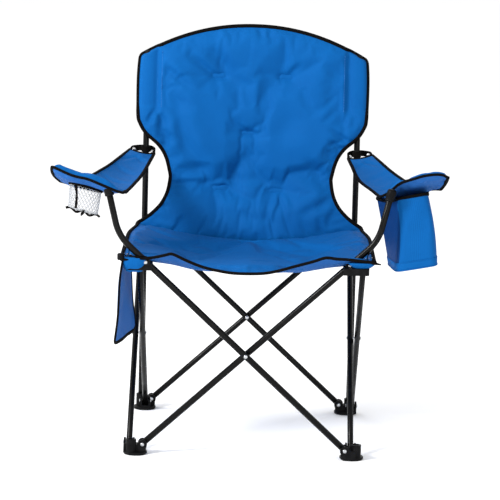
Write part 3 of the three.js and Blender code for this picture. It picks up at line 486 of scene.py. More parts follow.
def blend_colours(tree, factor, low, high):
    """A colour that runs from low to high with factor."""
    mixed = add(tree, "Mix", {"data_type": "RGBA", 6: low, 7: high}, {0: factor})
    return mixed.outputs[2]


def wave_scale(period_mm):
    """The Wave Texture scale whose bands repeat every period: its sine runs at 20 per unit."""
    return 2 * math.pi / (20 * period_mm * MM)


def woven_polyester(name, dark, light, thread_mm=1.5, sheen=0.01):
    """600-denier polyester, woven plain and coated on its back. It is matt with a soft sheen, a
    fine grain of crossed threads and a faint cloudiness from dyeing and handling. The real
    threads are 0.5 mm apart, too fine to show, so they are drawn wider."""
    material, tree, shader = new_material(name, sheen_weight=sheen, sheen_roughness=0.4,
                                           specular_ior_level=0.04)
    cloth = add(tree, "TexCoord").outputs["UV"]
    bands = [add(tree, "TexWave", {"bands_direction": way, "Scale": wave_scale(thread_mm),
                                   "Distortion": 0.6, "Detail": 1.0}, {"Vector": cloth})
             for way in ("X", "Y")]
    weave = add(tree, "Math", {"operation": "MULTIPLY"},
                {0: bands[0].outputs["Fac"], 1: bands[1].outputs["Fac"]}).outputs[0]
    cloud = add(tree, "TexNoise", {"Scale": 14.0, "Detail": 4.0, "Roughness": 0.6},
                {"Vector": cloth}).outputs["Fac"]
    slub = add(tree, "TexNoise", {"Scale": 420.0, "Detail": 2.0}, {"Vector": cloth}).outputs["Fac"]
    tone = add(tree, "Math", {"operation": "MULTIPLY_ADD", 1: 0.5}, {0: cloud, 2: weave})
    tone = add(tree, "Math", {"operation": "MULTIPLY_ADD", 1: 0.35, "use_clamp": True},
               {0: slub, 2: tone.outputs[0]})
    span = add(tree, "MapRange", {"From Min": 0.3, "From Max": 1.25}, {"Value": tone.outputs[0]})
    tree.links.new(blend_colours(tree, span.outputs[0], dark, light),
                   shader.inputs["Base Color"])
    rough = add(tree, "MapRange", {"To Min": 0.55, "To Max": 0.75}, {"Value": slub})
    tree.links.new(rough.outputs[0], shader.inputs["Roughness"])
    relief = add(tree, "Math", {"operation": "MULTIPLY_ADD", 1: 0.6}, {0: slub, 2: weave})
    bump = add(tree, "Bump", {"Strength": 0.35, "Distance": 0.0004}, {"Height": relief.outputs[0]})
    tree.links.new(bump.outputs[0], shader.inputs["Normal"])
    return material


def woven_tape(name, dark, light, rib_mm=2.4):
    """Polypropylene or polyester tape, woven with a cross rib. It is black and dull, and its
    ribs catch a little light. Real ribs are about 1 mm, so they are drawn a little wider."""
    material, tree, shader = new_material(name, roughness=0.8, specular_ior_level=0.03)
    tape = add(tree, "TexCoord").outputs["UV"]
    ribs = add(tree, "TexWave", {"bands_direction": "Y", "Scale": wave_scale(rib_mm),
                                 "Distortion": 0.4}, {"Vector": tape}).outputs["Fac"]
    fluff = add(tree, "TexNoise", {"Scale": 260.0, "Detail": 3.0}, {"Vector": tape}).outputs["Fac"]
    tone = add(tree, "Math", {"operation": "MULTIPLY"}, {0: ribs, 1: fluff})
    tree.links.new(blend_colours(tree, tone.outputs[0], dark, light),
                   shader.inputs["Base Color"])
    bump = add(tree, "Bump", {"Strength": 0.5, "Distance": 0.0005}, {"Height": tone.outputs[0]})
    tree.links.new(bump.outputs[0], shader.inputs["Normal"])
    return material


def powder_coat(name, colour, worn):
    """Polyester powder baked on steel tube. It is a semi-gloss skin with a fine orange peel, a
    clear sharp highlight along each tube, and small dull scuffs from folding."""
    material, tree, shader = new_material(name, specular_ior_level=0.1, coat_weight=0.04,
                                           coat_roughness=0.1)
    where = add(tree, "TexCoord").outputs["Object"]
    peel = add(tree, "TexNoise", {"Scale": 700.0, "Detail": 2.0}, {"Vector": where}).outputs["Fac"]
    scuff = add(tree, "TexNoise", {"Scale": 38.0, "Detail": 5.0, "Roughness": 0.7},
                {"Vector": where}).outputs["Fac"]
    marks = add(tree, "MapRange", {"From Min": 0.56, "From Max": 0.72}, {"Value": scuff})
    tree.links.new(blend_colours(tree, marks.outputs[0], colour, worn),
                   shader.inputs["Base Color"])
    rough = add(tree, "MapRange", {"From Min": 0.4, "From Max": 0.7, "To Min": 0.24,
                                   "To Max": 0.45}, {"Value": scuff})
    tree.links.new(rough.outputs[0], shader.inputs["Roughness"])
    bump = add(tree, "Bump", {"Strength": 0.12, "Distance": 0.0003}, {"Height": peel})
    tree.links.new(bump.outputs[0], shader.inputs["Normal"])
    return material


def moulded_polypropylene(name, colour, worn):
    """Injection-moulded polypropylene. It is black with a spark-eroded grain, satin in the light
    and a little greyer where it is rubbed."""
    material, tree, shader = new_material(name, ior=1.49, specular_ior_level=0.08)
    where = add(tree, "TexCoord").outputs["Object"]
    grain = add(tree, "TexVoronoi", {"Scale": 900.0}, {"Vector": where}).outputs["Distance"]
    rub = add(tree, "TexNoise", {"Scale": 60.0, "Detail": 4.0}, {"Vector": where}).outputs["Fac"]
    marks = add(tree, "MapRange", {"From Min": 0.45, "From Max": 0.75}, {"Value": rub})
    tree.links.new(blend_colours(tree, marks.outputs[0], colour, worn),
                   shader.inputs["Base Color"])
    rough = add(tree, "MapRange", {"To Min": 0.36, "To Max": 0.52}, {"Value": rub})
    tree.links.new(rough.outputs[0], shader.inputs["Roughness"])
    bump = add(tree, "Bump", {"Strength": 0.2, "Distance": 0.0002}, {"Height": grain})
    tree.links.new(bump.outputs[0], shader.inputs["Normal"])
    return material


def zinc_plate(name, colour, dull):
    """Zinc-plated steel, headed cold. It is a pale metal with a soft cloudy shine."""
    material, tree, shader = new_material(name, metallic=1.0)
    where = add(tree, "TexCoord").outputs["Object"]
    cloud = add(tree, "TexNoise", {"Scale": 420.0, "Detail": 3.0}, {"Vector": where}).outputs["Fac"]
    tree.links.new(blend_colours(tree, cloud, dull, colour),
                   shader.inputs["Base Color"])
    rough = add(tree, "MapRange", {"To Min": 0.22, "To Max": 0.42}, {"Value": cloud})
    tree.links.new(rough.outputs[0], shader.inputs["Roughness"])
    return material


def spun_thread(name, dark, light):
    """Twisted polyester thread. It is matt, with a slanting two-ply twist about 1 mm long."""
    material, tree, shader = new_material(name, roughness=0.7, specular_ior_level=0.2)
    where = add(tree, "TexCoord").outputs["Object"]
    twist = add(tree, "TexWave", {"bands_direction": "DIAGONAL", "Scale": wave_scale(1.6),
                                  "Distortion": 1.0}, {"Vector": where}).outputs["Fac"]
    tree.links.new(blend_colours(tree, twist, dark, light),
                   shader.inputs["Base Color"])
    return material


def pale_floor(name, colour):
    """Painted studio floor: white and matt, with an uneven roller texture."""
    material, tree, shader = new_material(name, roughness=0.95, specular_ior_level=0.0)
    where = add(tree, "TexCoord").outputs["Object"]
    roller = add(tree, "TexNoise", {"Scale": 30.0, "Detail": 3.0}, {"Vector": where})
    bump = add(tree, "Bump", {"Strength": 0.02, "Distance": 0.001},
               {"Height": roller.outputs["Fac"]})
    tree.links.new(bump.outputs[0], shader.inputs["Normal"])
    shader.inputs["Base Color"].default_value = colour
    return material


MATERIALS = {}


def finish(kind):
    """The named finish, made the first time it is asked for."""
    if kind not in MATERIALS:
        tones = bpy.context.scene.chair_colours

        def tone(name):
            return (*getattr(tones, name), 1.0)

        makers = {
            "cloth": lambda: woven_polyester("woven_polyester_blue", tone("cloth_dark"), tone("cloth")),
            "backing": lambda: woven_polyester("coated_backing_blue", tone("backing_dark"),
                                               tone("backing"), 1.8, 0.0),
            # painted shade: a darker copy of the blue cloth for the pouch's shaded inner side
            "painted_shade_cloth": lambda: woven_polyester("woven_polyester_painted_shade", tone("painted_shade_cloth_dark"),
                                              tone("painted_shade_cloth")),
            "tape": lambda: woven_tape("woven_tape_black", tone("tape"), tone("tape_rib")),
            "webbing": lambda: woven_tape("woven_webbing_black", tone("tape"), tone("tape_rib"), 3.2),
            "tube": lambda: powder_coat("powder_coat_black", tone("tube"), tone("tube_worn")),
            "plastic": lambda: moulded_polypropylene("moulded_polypropylene_black",
                                                     tone("plastic"), tone("plastic_worn")),
            "zinc": lambda: zinc_plate("zinc_plated_steel", tone("zinc"), tone("zinc_dull")),
            "thread": lambda: spun_thread("spun_thread_blue", tone("thread_dark"), tone("thread")),
            "net": lambda: spun_thread("knitted_net_thread", tone("net_dark"), tone("net")),
        }
        MATERIALS[kind] = makers[kind]()
    return MATERIALS[kind]


def settle(piece, body, slot, *nodes, squash=None, pad=None):
    """Hangs a finished piece on the body it rides on and hides the nodes it stands for. Its slot is not
    used.
    """
    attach(piece, body)
    if nodes:
        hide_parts(*nodes)
    if squash:
        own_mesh(piece)
    return piece


def colour(name, hex_value, description):
    """A colour property whose default is given as an sRGB hex value."""
    return bpy.props.FloatVectorProperty(name=name, default=linear(hex_value)[:3], size=3,
                                         min=0, max=1, subtype="COLOR", description=description)


class CHAIR_PG_colours(bpy.types.PropertyGroup):
    """The chair's colours."""
    cloth: colour("Cloth", "#0a5da2", "Blue of the woven cloth")
    cloth_dark: colour("Cloth, dark", "#064a88", "Blue between the threads")
    backing: colour("Backing", "#2d67ac", "Paler coated side of the cloth")
    backing_dark: colour("Backing, dark", "#1f4f90", "Coated side between the threads")
    # painted shade: these two blues are the pouch's cloth darkened to stand for the shade on its inner
    # side, not a separate lining cloth
    painted_shade_cloth: colour("Lining", "#073a78", "Darker cloth on the pouch's inner side")
    painted_shade_cloth_dark: colour("Lining, dark", "#052a5a", "Darker cloth between the threads")
    tape: colour("Tape", "#060505", "Black of the bindings and webbing")
    tape_rib: colour("Tape ribs", "#161413", "Tips of the tape's ribs")
    tube: colour("Tube", "#050505", "Powder coat on the tubes")
    tube_worn: colour("Tube, scuffed", "#121110", "Powder coat where it is scuffed")
    plastic: colour("Plastic", "#070708", "Moulded feet, hubs and caps")
    plastic_worn: colour("Plastic, rubbed", "#141415", "Moulded parts where they are rubbed")
    zinc: colour("Zinc", "#d2d4d6", "Rivets")
    zinc_dull: colour("Zinc, dull", "#8f9194", "Rivets where the plate is cloudy")
    thread: colour("Thread", "#4a90d8", "Sewing thread")
    thread_dark: colour("Thread, dark", "#15478f", "Sewing thread in its twist")
    net: colour("Net", "#cfd2d5", "Net of the cup holder")
    net_dark: colour("Net, dark", "#8f9296", "Net thread in its twist")
    floor: colour("Floor", "#fdfdfd", "Studio floor")


def millimetres(name, default, description):
    """A length property that is shown in the scene's units."""
    return bpy.props.FloatProperty(name=name, default=default * MM, description=description,
                                   subtype="DISTANCE", unit="LENGTH")


class CHAIR_PG_sizes(bpy.types.PropertyGroup):
    """Sizes of the sewn pieces that a user would change."""
    binding: millimetres("Binding", 8.5, "Width of the tape that shows round an edge")
    arm_binding: millimetres("Armrest binding", 8, "Width of the tape round the armrests")
    stitch: millimetres("Stitch pitch", 6, "Distance between two stitches")
    tuft: millimetres("Tuft", 28, "Length of the tack stitches on the back")
    net_thread: millimetres("Net thread", 0.5, "Radius of the cup holder's net thread")
    back_lift: millimetres("Back padding", 13, "How far the back's cloth may rise")
    seat_lift: millimetres("Seat padding", 9, "How far the seat's cloth may rise")
    arm_lift: millimetres("Armrest padding", 5, "How far the armrests' cloth may rise")


# ---- the frame's tubes ----

def leg_line():
    """A straight tube's line in (across, up): both pivots and TUBE_END beyond each."""
    step = np.array([math.cos(REST), math.sin(REST)])
    return np.array([np.array([-SPAN, FOOT_Z]) - TUBE_END * step,
                     np.array([SPAN, HUB_Z]) + TUBE_END * step])


def arm_line():
    """An arm tube's line in (across, up): straight, an arc of ARM_BEND_RADIUS, then straight."""
    step = np.array([math.cos(REST), math.sin(REST)])
    bend_start = np.array([SPAN, HUB_Z]) + ARM_STRAIGHT * step
    middle = bend_start + ARM_BEND_RADIUS * np.array([-step[1], step[0]])
    turn = REST - math.pi / 2 + ARM_BEND * np.linspace(0, 1, 17)
    arc = middle + ARM_BEND_RADIUS * np.stack([np.cos(turn), np.sin(turn)], 1)
    upper = np.array([math.cos(REST + ARM_BEND), math.sin(REST + ARM_BEND)])
    return np.vstack([leg_line()[:1], arc, arc[-1] + ARM_UPPER * upper])


def post_line():
    """A post's line in (depth, up): upright, an arc of POST_BEND_RADIUS, then leaning back."""
    turn = POST_LEAN * np.linspace(0, 1, 9)
    arc = np.stack([POST_X + POST_BEND_RADIUS * (1 - np.cos(turn)),
                    POST_BEND_Z + POST_BEND_RADIUS * np.sin(turn)], 1)
    upper = np.array([math.sin(POST_LEAN), math.cos(POST_LEAN)])
    return np.vstack([[POST_X, POST_FLOOR], arc, arc[-1] + POST_UPPER * upper])


ARM_END = arm_line()[-1]


def round_tube(name, path, radius, material, wall=1.2, sides=32):
    """A tube with open ends: rings along the path, then over each end's rim and down its bore."""
    count = len(path)
    side, up = framed(path, (0.31, 0.17, 0.93))
    along = unit(np.gradient(path, axis=0))
    bore = radius - wall
    rims = [(0, 16, bore), (0, 0, bore), (0, 0, radius - 0.4), (0, 0.4, radius)]
    rims += [(index, 0, radius) for index in range(1, count - 1)]
    rims += [(count - 1, -0.4, radius), (count - 1, 0, radius - 0.4), (count - 1, 0, bore),
             (count - 1, -16, bore)]
    index, shift, size = (np.array(values) for values in zip(*rims))
    turn = np.linspace(0, 2 * np.pi, sides, endpoint=False)
    spoke = (np.cos(turn)[None, :, None] * side[index][:, None]
             + np.sin(turn)[None, :, None] * up[index][:, None])
    rings = ((path[index] + shift[:, None] * along[index])[:, None]
             + size[:, None, None] * spoke)
    return sweep(name, rings, material, width=2 * math.pi * radius)


def body_of(node):
    """The body that a node of the frame belongs to."""
    bodies = frame["record"]["behaviour"]["bodies"]
    return next(body for body, nodes in bodies.items() if node in nodes)


class CHAIR_OT_tubes(bpy.types.Operator):
    """Sweep the smooth steel tubes and posts along the frame's own lines"""
    bl_idname = "chair.tubes"
    bl_label = "Tubes and posts"

    def execute(self, context):
        crossed = [("front_tube_right_arm", arm_line(), ARM_RADIUS, "x", 1),
                   ("front_tube_left_arm", arm_line(), ARM_RADIUS, "x", -1),
                   ("left_tube_low_front", leg_line(), LEG_RADIUS, "y", 1),
                   ("left_tube_low_rear", leg_line(), LEG_RADIUS, "y", -1),
                   ("right_tube_low_front", leg_line(), LEG_RADIUS, "y", 1),
                   ("right_tube_low_rear", leg_line(), LEG_RADIUS, "y", -1),
                   ("rear_tube_low_left", leg_line(), LEG_RADIUS, "x", 1),
                   ("rear_tube_low_right", leg_line(), LEG_RADIUS, "x", -1)]
        for node, line, radius, axis, side in crossed:
            plane = measured(node)[2][1 if axis == "x" else 0]
            if len(line) == 2:
                line = np.linspace(line[0], line[1], 5)
            level = np.full(len(line), plane)
            across = side * line[:, 0]
            path = np.stack([across, level, line[:, 1]] if axis == "x"
                            else [level, across, line[:, 1]], 1)
            tube = round_tube(f"{node}_coated", path, radius, finish("tube"))
            settle(tube, body_of(node), "coated_steel_tube", node)
        for name, side in SIDES:
            line = post_line()
            path = np.column_stack([np.full(len(line), side * POST_X), line])
            tube = round_tube(f"{name}_post_coated", path, POST_RADIUS, finish("tube"))
            settle(tube, f"rear_{name}_post", "coated_steel_tube", f"{name}_post")
        return {"FINISHED"}


def bevelled_copy(node, width, material):
    """A merged copy of a node with its flat faces rejoined and its edges rounded."""
    mesh = frame["nodes"][node].data.copy()
    mesh.name = f"{node}_moulded"
    solid = bmesh.new()
    solid.from_mesh(mesh)
    bmesh.ops.remove_doubles(solid, verts=solid.verts, dist=0.00002)
    bmesh.ops.dissolve_limit(solid, angle_limit=math.radians(1), verts=solid.verts,
                             edges=solid.edges)
    solid.to_mesh(mesh)
    solid.free()
    mesh.materials.clear()
    mesh.materials.append(material)
    mesh.polygons.foreach_set("use_smooth", np.ones(len(mesh.polygons), bool))
    mesh.set_sharp_from_angle(angle=math.radians(40))
    piece = bpy.data.objects.new(mesh.name, mesh)
    bpy.context.scene.collection.objects.link(piece)
    bevel = piece.modifiers.new("rounded_edges", "BEVEL")
    bevel.width = width * MM
    bevel.segments = 2
    bevel.limit_method = "ANGLE"
    bevel.angle_limit = math.radians(40)
    bevel.harden_normals = True
    return piece


class CHAIR_OT_feet_and_hubs(bpy.types.Operator):
    """Round the edges of the moulded feet and hubs"""
    bl_idname = "chair.feet_and_hubs"
    bl_label = "Feet and hubs"

    def execute(self, context):
        for corner in CORNERS:
            for kind, width in (("foot", 0.7), ("hub", 0.8)):
                node = f"{corner}_{kind}"
                settle(bevelled_copy(node, width, finish("plastic")), body_of(node),
                       "black_plastic", node)
        return {"FINISHED"}


class CHAIR_OT_rivets(bpy.types.Operator):
    """Turn the domed rivets of the pivots and crossings"""
    bl_idname = "chair.rivets"
    bl_label = "Rivets"

    def execute(self, context):
        for node in sorted(n for n in frame["nodes"] if "rivet" in n):
            low, high, middle = measured(node)
            axis = int(np.argmax(high - low))
            half = (high - low)[axis] / 2
            head = 2.0
            dome = [(-half, 0.7), (-half + 0.2, 2.2), (-half + 0.8, 3.6), (-half + 1.5, 4.3),
                    (-half + head, 4.4), (-half + head, 2.2)]
            profile = dome + [(-height, radius) for height, radius in reversed(dome)]
            direction = np.eye(3)[axis]
            rivet = turned(f"{node}_domed", profile, middle, direction, finish("zinc"), 20)
            settle(rivet, body_of(node), "rivet_steel", node)
        return {"FINISHED"}


class CHAIR_OT_caps(bpy.types.Operator):
    """Turn the ribbed caps on the arm tubes and finish the post caps"""
    bl_idname = "chair.caps"
    bl_label = "Tube caps"

    def execute(self, context):
        length, radius = 26.0, 10.5
        profile = [(0, 7.1), (0, 9.4), (0.6, 10.2), (2.8, 10.5), (3.4, 9.9), (4.6, 9.9),
                   (5.2, 10.4), (length - 6, 10.3), (length - 3.2, 9.7), (length - 1.2, 8.0),
                   (length - 0.3, 5.4), (length, 2.0)]
        for name, side in SIDES:
            plane = measured(f"{name}_arm_cap")[2][1]
            along = np.array([side * math.cos(REST + ARM_BEND), 0, math.sin(REST + ARM_BEND)])
            wall = 3.3 if side > 0 else 1.5
            mouth = np.array([side * ARM_END[0], plane, ARM_END[1]]) + along * (wall - length)
            cap = turned(f"{name}_arm_cap_ribbed", profile, mouth, along, finish("plastic"))
            settle(cap, body_of(f"{name}_arm_cap"), "black_plastic", f"{name}_arm_cap")
            node = frame["nodes"][f"{name}_post_cap"]
            node.data.materials.clear()
            node.data.materials.append(finish("plastic"))
        return {"FINISHED"}


# ---- the back ----

# height over the hubs and reach past the posts' axes of the back's sewn edge, from the seat up
BACK_EDGE = [(16, 16), (23, 15), (29, 5), (42, -15), (63, -38), (87, -52), (115, -58),
             (128, -57), (163, -47), (191, -30), (223, 0), (250, 15), (273, 20), (348, 21.5),
             (396, 19), (404, 15)]
BACK_ARCH_TOP = 903.5
SLEEVE_SEAM_X = 217
SLEEVE_END_Z = 712
TUFTS = [(-79, 786), (76, 786), (-9, 656), (-72, 527), (59, 524)]
BACK_FOLDS = [
    (-102, 846, -58, 798, 15, 5), (-131, 824, -94, 789, 6, 3), (-206, 804, -142, 755, 8, 4.5),
    (-224, 712, -242, 672, 6, 4), (-224, 712, -206, 676, 6, 4), (-180, 730, -152, 604, 17, 5),
    (-205, 690, -196, 615, 10, 4), (80, 790, 108, 816, 6, 3), (184, 800, 180, 715, 16, 3.5),
    (186, 668, 224, 640, 6, 4), (178, 645, 214, 622, 5, 3), (224, 712, 212, 686, 5, 3),
    (224, 712, 244, 694, 5, 3), (52, 518, 36, 458, 7, 4), (66, 516, 82, 476, 6, 3.5),
    (-186, 534, -92, 537, 9, 5), (-34, 590, -46, 506, 20, 5.5), (-220, 500, -190, 484, 7, 4),
    (-30, 676, -16, 662, 4, 2.5), (14, 680, 0, 662, 4, 2.5), (-32, 640, -18, 650, 4, 2),
    (14, 640, 2, 650, 4, 2), (-96, 900, -80, 872, 7, 3), (10, 902, 18, 872, 6, 3),
    (38, 900, 34, 876, 6, 3), (-150, 640, -110, 560, 18, 4), (130, 600, 168, 560, 10, 3),
    (100, 700, 60, 640, 26, 3), (-60, 470, 60, 452, 14, 3), (120, 470, 176, 500, 10, 3)]


def seam_z(x):
    """Height of the seam where the back meets the seat: a parabola between the posts."""
    return HUB_Z - 23 + 40 * (np.abs(x) / 259) ** 2


SEAM_Y = 206.0


def back_grids(rows=92, columns=100):
    """The back's middle surface, its two half thicknesses and its flat coordinates.

    A row's height at the sides runs from the seat to the top corners, and its half width is
    read off BACK_EDGE. Between the sides each row rises to an arch, (x / 250)^2.1 below its
    top, and falls to the seam's parabola at the bottom. The surface stands in front of the
    posts, sags to the rear in the middle, comes forward to the seat at the bottom, and passes
    round each post's axis in the sleeves.
    """
    edge = spline(BACK_EDGE, 400)
    up = np.linspace(0, 1, rows)[:, None]
    across = np.linspace(-1, 1, columns)[None, :]
    side_z = HUB_Z + mix(edge[0, 0], edge[-1, 0], up)
    x = across * (POST_X + np.interp(side_z - HUB_Z, edge[:, 0], edge[:, 1]))
    top = BACK_ARCH_TOP - 62 * (np.abs(x) / 250) ** 2.1
    low = seam_z(across * (POST_X + edge[0, 1]))
    side = mix(low[0, 0], top[-1, 0], up)
    z = mix(low - 5, top, up) + (side_z - side) * np.abs(across) ** 2
    rise = ease(0, 0.3, up)
    sag = 20 * np.maximum(0, 1 - (x / 225) ** 2) * np.sin(np.pi * up)
    panel_y = mix(SEAM_Y, post_y(z) - 14 + sag, rise)
    in_sleeve = ease(SLEEVE_SEAM_X - 4, SLEEVE_SEAM_X + 8, np.abs(x))
    in_sleeve = in_sleeve * ease(SLEEVE_END_Z - 14, SLEEVE_END_Z + 8, z)
    y = mix(panel_y, post_y(z), in_sleeve)
    flat = np.stack([x, np.broadcast_to(z, x.shape)], -1)
    return x, y, z, in_sleeve, flat


def edge_taper(rows, columns, reach):
    """0 on a grid's border and 1 a few cells in: sqrt of the smoothed distance to the border."""
    r = np.minimum(np.arange(rows), np.arange(rows)[::-1])[:, None]
    c = np.minimum(np.arange(columns), np.arange(columns)[::-1])[None, :]
    return np.sqrt(ease(0, reach, np.minimum(r, c)))


class CHAIR_OT_back(bpy.types.Operator):
    """Sew the padded back: two cloths, tufts, sleeves round the posts, binding and stitching"""
    bl_idname = "chair.back"
    bl_label = "Back"

    squash = {"axis": (1, 0, 0), "anchor": tuple(place((-POST_X, 0, 0))), "keep": 0.376}

    def cloth(self, sizes):
        """Blows the panel up between its seams and adds its folds to the front."""
        x, y, z, in_sleeve, flat = back_grids()
        rows, columns = x.shape
        tuck = np.zeros_like(x)
        held = np.zeros_like(x)
        for tuft_x, tuft_z in TUFTS:
            near = np.hypot(np.maximum(np.abs(x - tuft_x) - 10, 0) / 1.4, z - tuft_z)
            tuck = np.maximum(tuck, np.exp(-(near / 7) ** 2))
            held[near < 3.5] = 1
        taper = edge_taper(rows, columns, 4)
        sleeve = 13 * np.sqrt(np.clip(1 - ((np.abs(x) - 243) / 26) ** 2, 0, 1))
        half = mix(4 * taper * (1 - 0.85 * tuck), sleeve, in_sleeve)
        seam = hump(np.abs(x), SLEEVE_SEAM_X, 5) * ease(SLEEVE_END_Z - 6, SLEEVE_END_Z + 4, z)
        half = half * (1 - 0.8 * seam)
        half[[0, -1], :] = half[:, [0, -1]] = 0
        held[[0, 1, -2, -1], :] = held[:, [0, 1, -2, -1]] = 1
        held[(in_sleeve > 0.05) | (seam > 0.3)] = 1
        middle = np.stack([x, y, z], -1)
        offset = half[..., None] * np.array([0, 1, 0])
        front, rear = inflate(middle - offset, middle + offset, held, 3.0, sizes.back_lift / MM,
                              0.03)
        fold = 1.5 * crease(x, z, BACK_FOLDS) * taper * (1 - np.clip(in_sleeve, 0, 1))
        pull = 6 * tuck * (1 - in_sleeve)
        front[..., 1] += fold + pull * (front[..., 1] < middle[..., 1])
        rear[..., 1] += 0.3 * fold
        return middle, front, rear, flat

    def execute(self, context):
        sizes = context.scene.chair_sizes
        middle, front, rear, flat = self.cloth(sizes)
        back = panel("back_padded", front, rear, flat, finish("cloth"))
        settle(back, "rear_left_post", "blue_fabric", "back", squash=self.squash, pad=0.5)

        width = sizes.binding / MM / 2
        border = np.vstack([middle[:, 0], middle[-1, 1:-1], middle[::-1, -1]])
        path = resample(border, 420)
        facing = np.tile([0, -1.0, 0], (len(path), 1))
        binding = carry("back_binding", path, facing, oval(width, 3.4, 14, 2.6), finish("tape"))
        settle(binding, "rear_left_post", "black_webbing", squash=self.squash)

        tacks = []
        length = sizes.tuft / MM
        for number, (tuft_x, tuft_z) in enumerate(TUFTS):
            here = np.argmin(np.hypot(front[..., 0] - tuft_x, front[..., 2] - tuft_z))
            depth = front.reshape(-1, 3)[here, 1]
            bow = np.linspace(-1, 1, 9)
            tack = np.stack([tuft_x + bow * length / 2, np.full(9, depth - 1.0),
                             tuft_z + 1.5 * (1 - bow ** 2)], 1)
            tacks.append(carry(f"tack_{number}", tack, (0, -1, 0), oval(0.8, 0.8, 8),
                               finish("webbing"), scale=np.sqrt(1.02 - bow ** 2)))
        settle(join("back_tack_stitches", tacks), "rear_left_post", "blue_fabric",
               squash=self.squash)

        rows_of_stitches = []
        for name, side in SIDES:
            for offset in (-5.5, 4.5):
                z = np.linspace(SLEEVE_END_Z + 2, 838, 60)
                x = np.full(60, side * (SLEEVE_SEAM_X + offset))
                y = self.depth_at(front, x, z) - 0.3
                rows_of_stitches.append(stitches(f"{name}_sleeve_{offset}", np.stack([x, y, z], 1),
                                                 (0, -1, 0), finish("thread"),
                                                 sizes.stitch / MM))
        settle(join("back_sleeve_stitching", rows_of_stitches), "rear_left_post", "blue_fabric",
               squash=self.squash)
        return {"FINISHED"}

    @staticmethod
    def depth_at(front, x, z):
        """The cloth's y at each (x, z), from the nearest point of its grid."""
        flat = front.reshape(-1, 3)
        near = np.argmin((flat[None, :, 0] - x[:, None]) ** 2
                         + (flat[None, :, 2] - z[:, None]) ** 2, axis=1)
        return flat[near, 1]


# ---- the seat ----

SLIT_HEIGHT = 443.0  # where the arm tubes pass through the seat

# the front hem, across and height, and the cloth behind it, which hangs lower
SEAT_HEM = [(-273, 432), (-240, 434), (-204, 438), (-178, 444), (-166, 447), (-156, 444),
            (-132, 433), (-97, 420), (-60, 412), (-25, 408), (28, 409), (62, 415), (99, 426),
            (140, 438), (162, 446), (174, 447), (190, 445), (217, 444), (259, 440), (273, 438)]
SEAT_LOW_LINE = [(0, 411), (60, 406), (110, 405), (150, 411), (195, 419), (230, 423), (273, 434)]
SEAT_FRONT_Y = -264.0
SEAT_HALF = 273.0
SEAT_FOLDS = [(10, -150, 60, -100, 6, 3), (-150, 60, -90, 20, 12, 3), (150, 40, 90, -20, 12, 3),
              (-245, -225, -180, -190, 8, 3), (240, -225, 190, -185, 8, 3),
              (-230, 120, -170, 90, 10, 3), (225, 130, 165, 95, 10, 3),
              (-120, -240, -60, -200, 10, 2.5), (110, -240, 70, -190, 10, 2.5)]


def seat_grids(columns=96, front_rows=46, rear_rows=38):
    """The seat's middle surface and flat coordinates, with one row on the line y = 0.

    The half width grows from the seam to SEAT_HALF at y = 0. Heights run from the low cloth
    behind the hem to the seam's parabola, less a sag of 14 mm, and the hem lifts its front
    with exp(-distance / 30).
    """
    y = np.concatenate([np.linspace(SEAT_FRONT_Y, 0, front_rows),
                        np.linspace(0, SEAM_Y, rear_rows)[1:]])[:, None]
    across = np.linspace(-1, 1, columns)[None, :]
    half = SEAT_HALF - 14 * ease(0, SEAM_Y, y) ** 1.5
    x = across * half
    share = np.abs(across)
    hem_line = spline(SEAT_HEM, 300)
    hem = np.interp(x, hem_line[:, 0], hem_line[:, 1])
    low_line = spline(SEAT_LOW_LINE, 120)
    low = np.interp(np.abs(x), low_line[:, 0], low_line[:, 1])
    along = (y - SEAT_FRONT_Y) / (SEAM_Y - SEAT_FRONT_Y)
    hold = mix(ease(0.15, 1, along), along, share ** 2)
    sag = 12 * (1 - share ** 2) * np.sin(np.pi * ease(0.08, 1, along))
    lip = (hem - low) * np.exp(-(y - SEAT_FRONT_Y) / 30)
    z = mix(low, seam_z(x), hold) - sag + lip
    y = np.broadcast_to(y, x.shape)
    return np.stack([x, y, z], -1), np.stack([x, y], -1), front_rows - 1


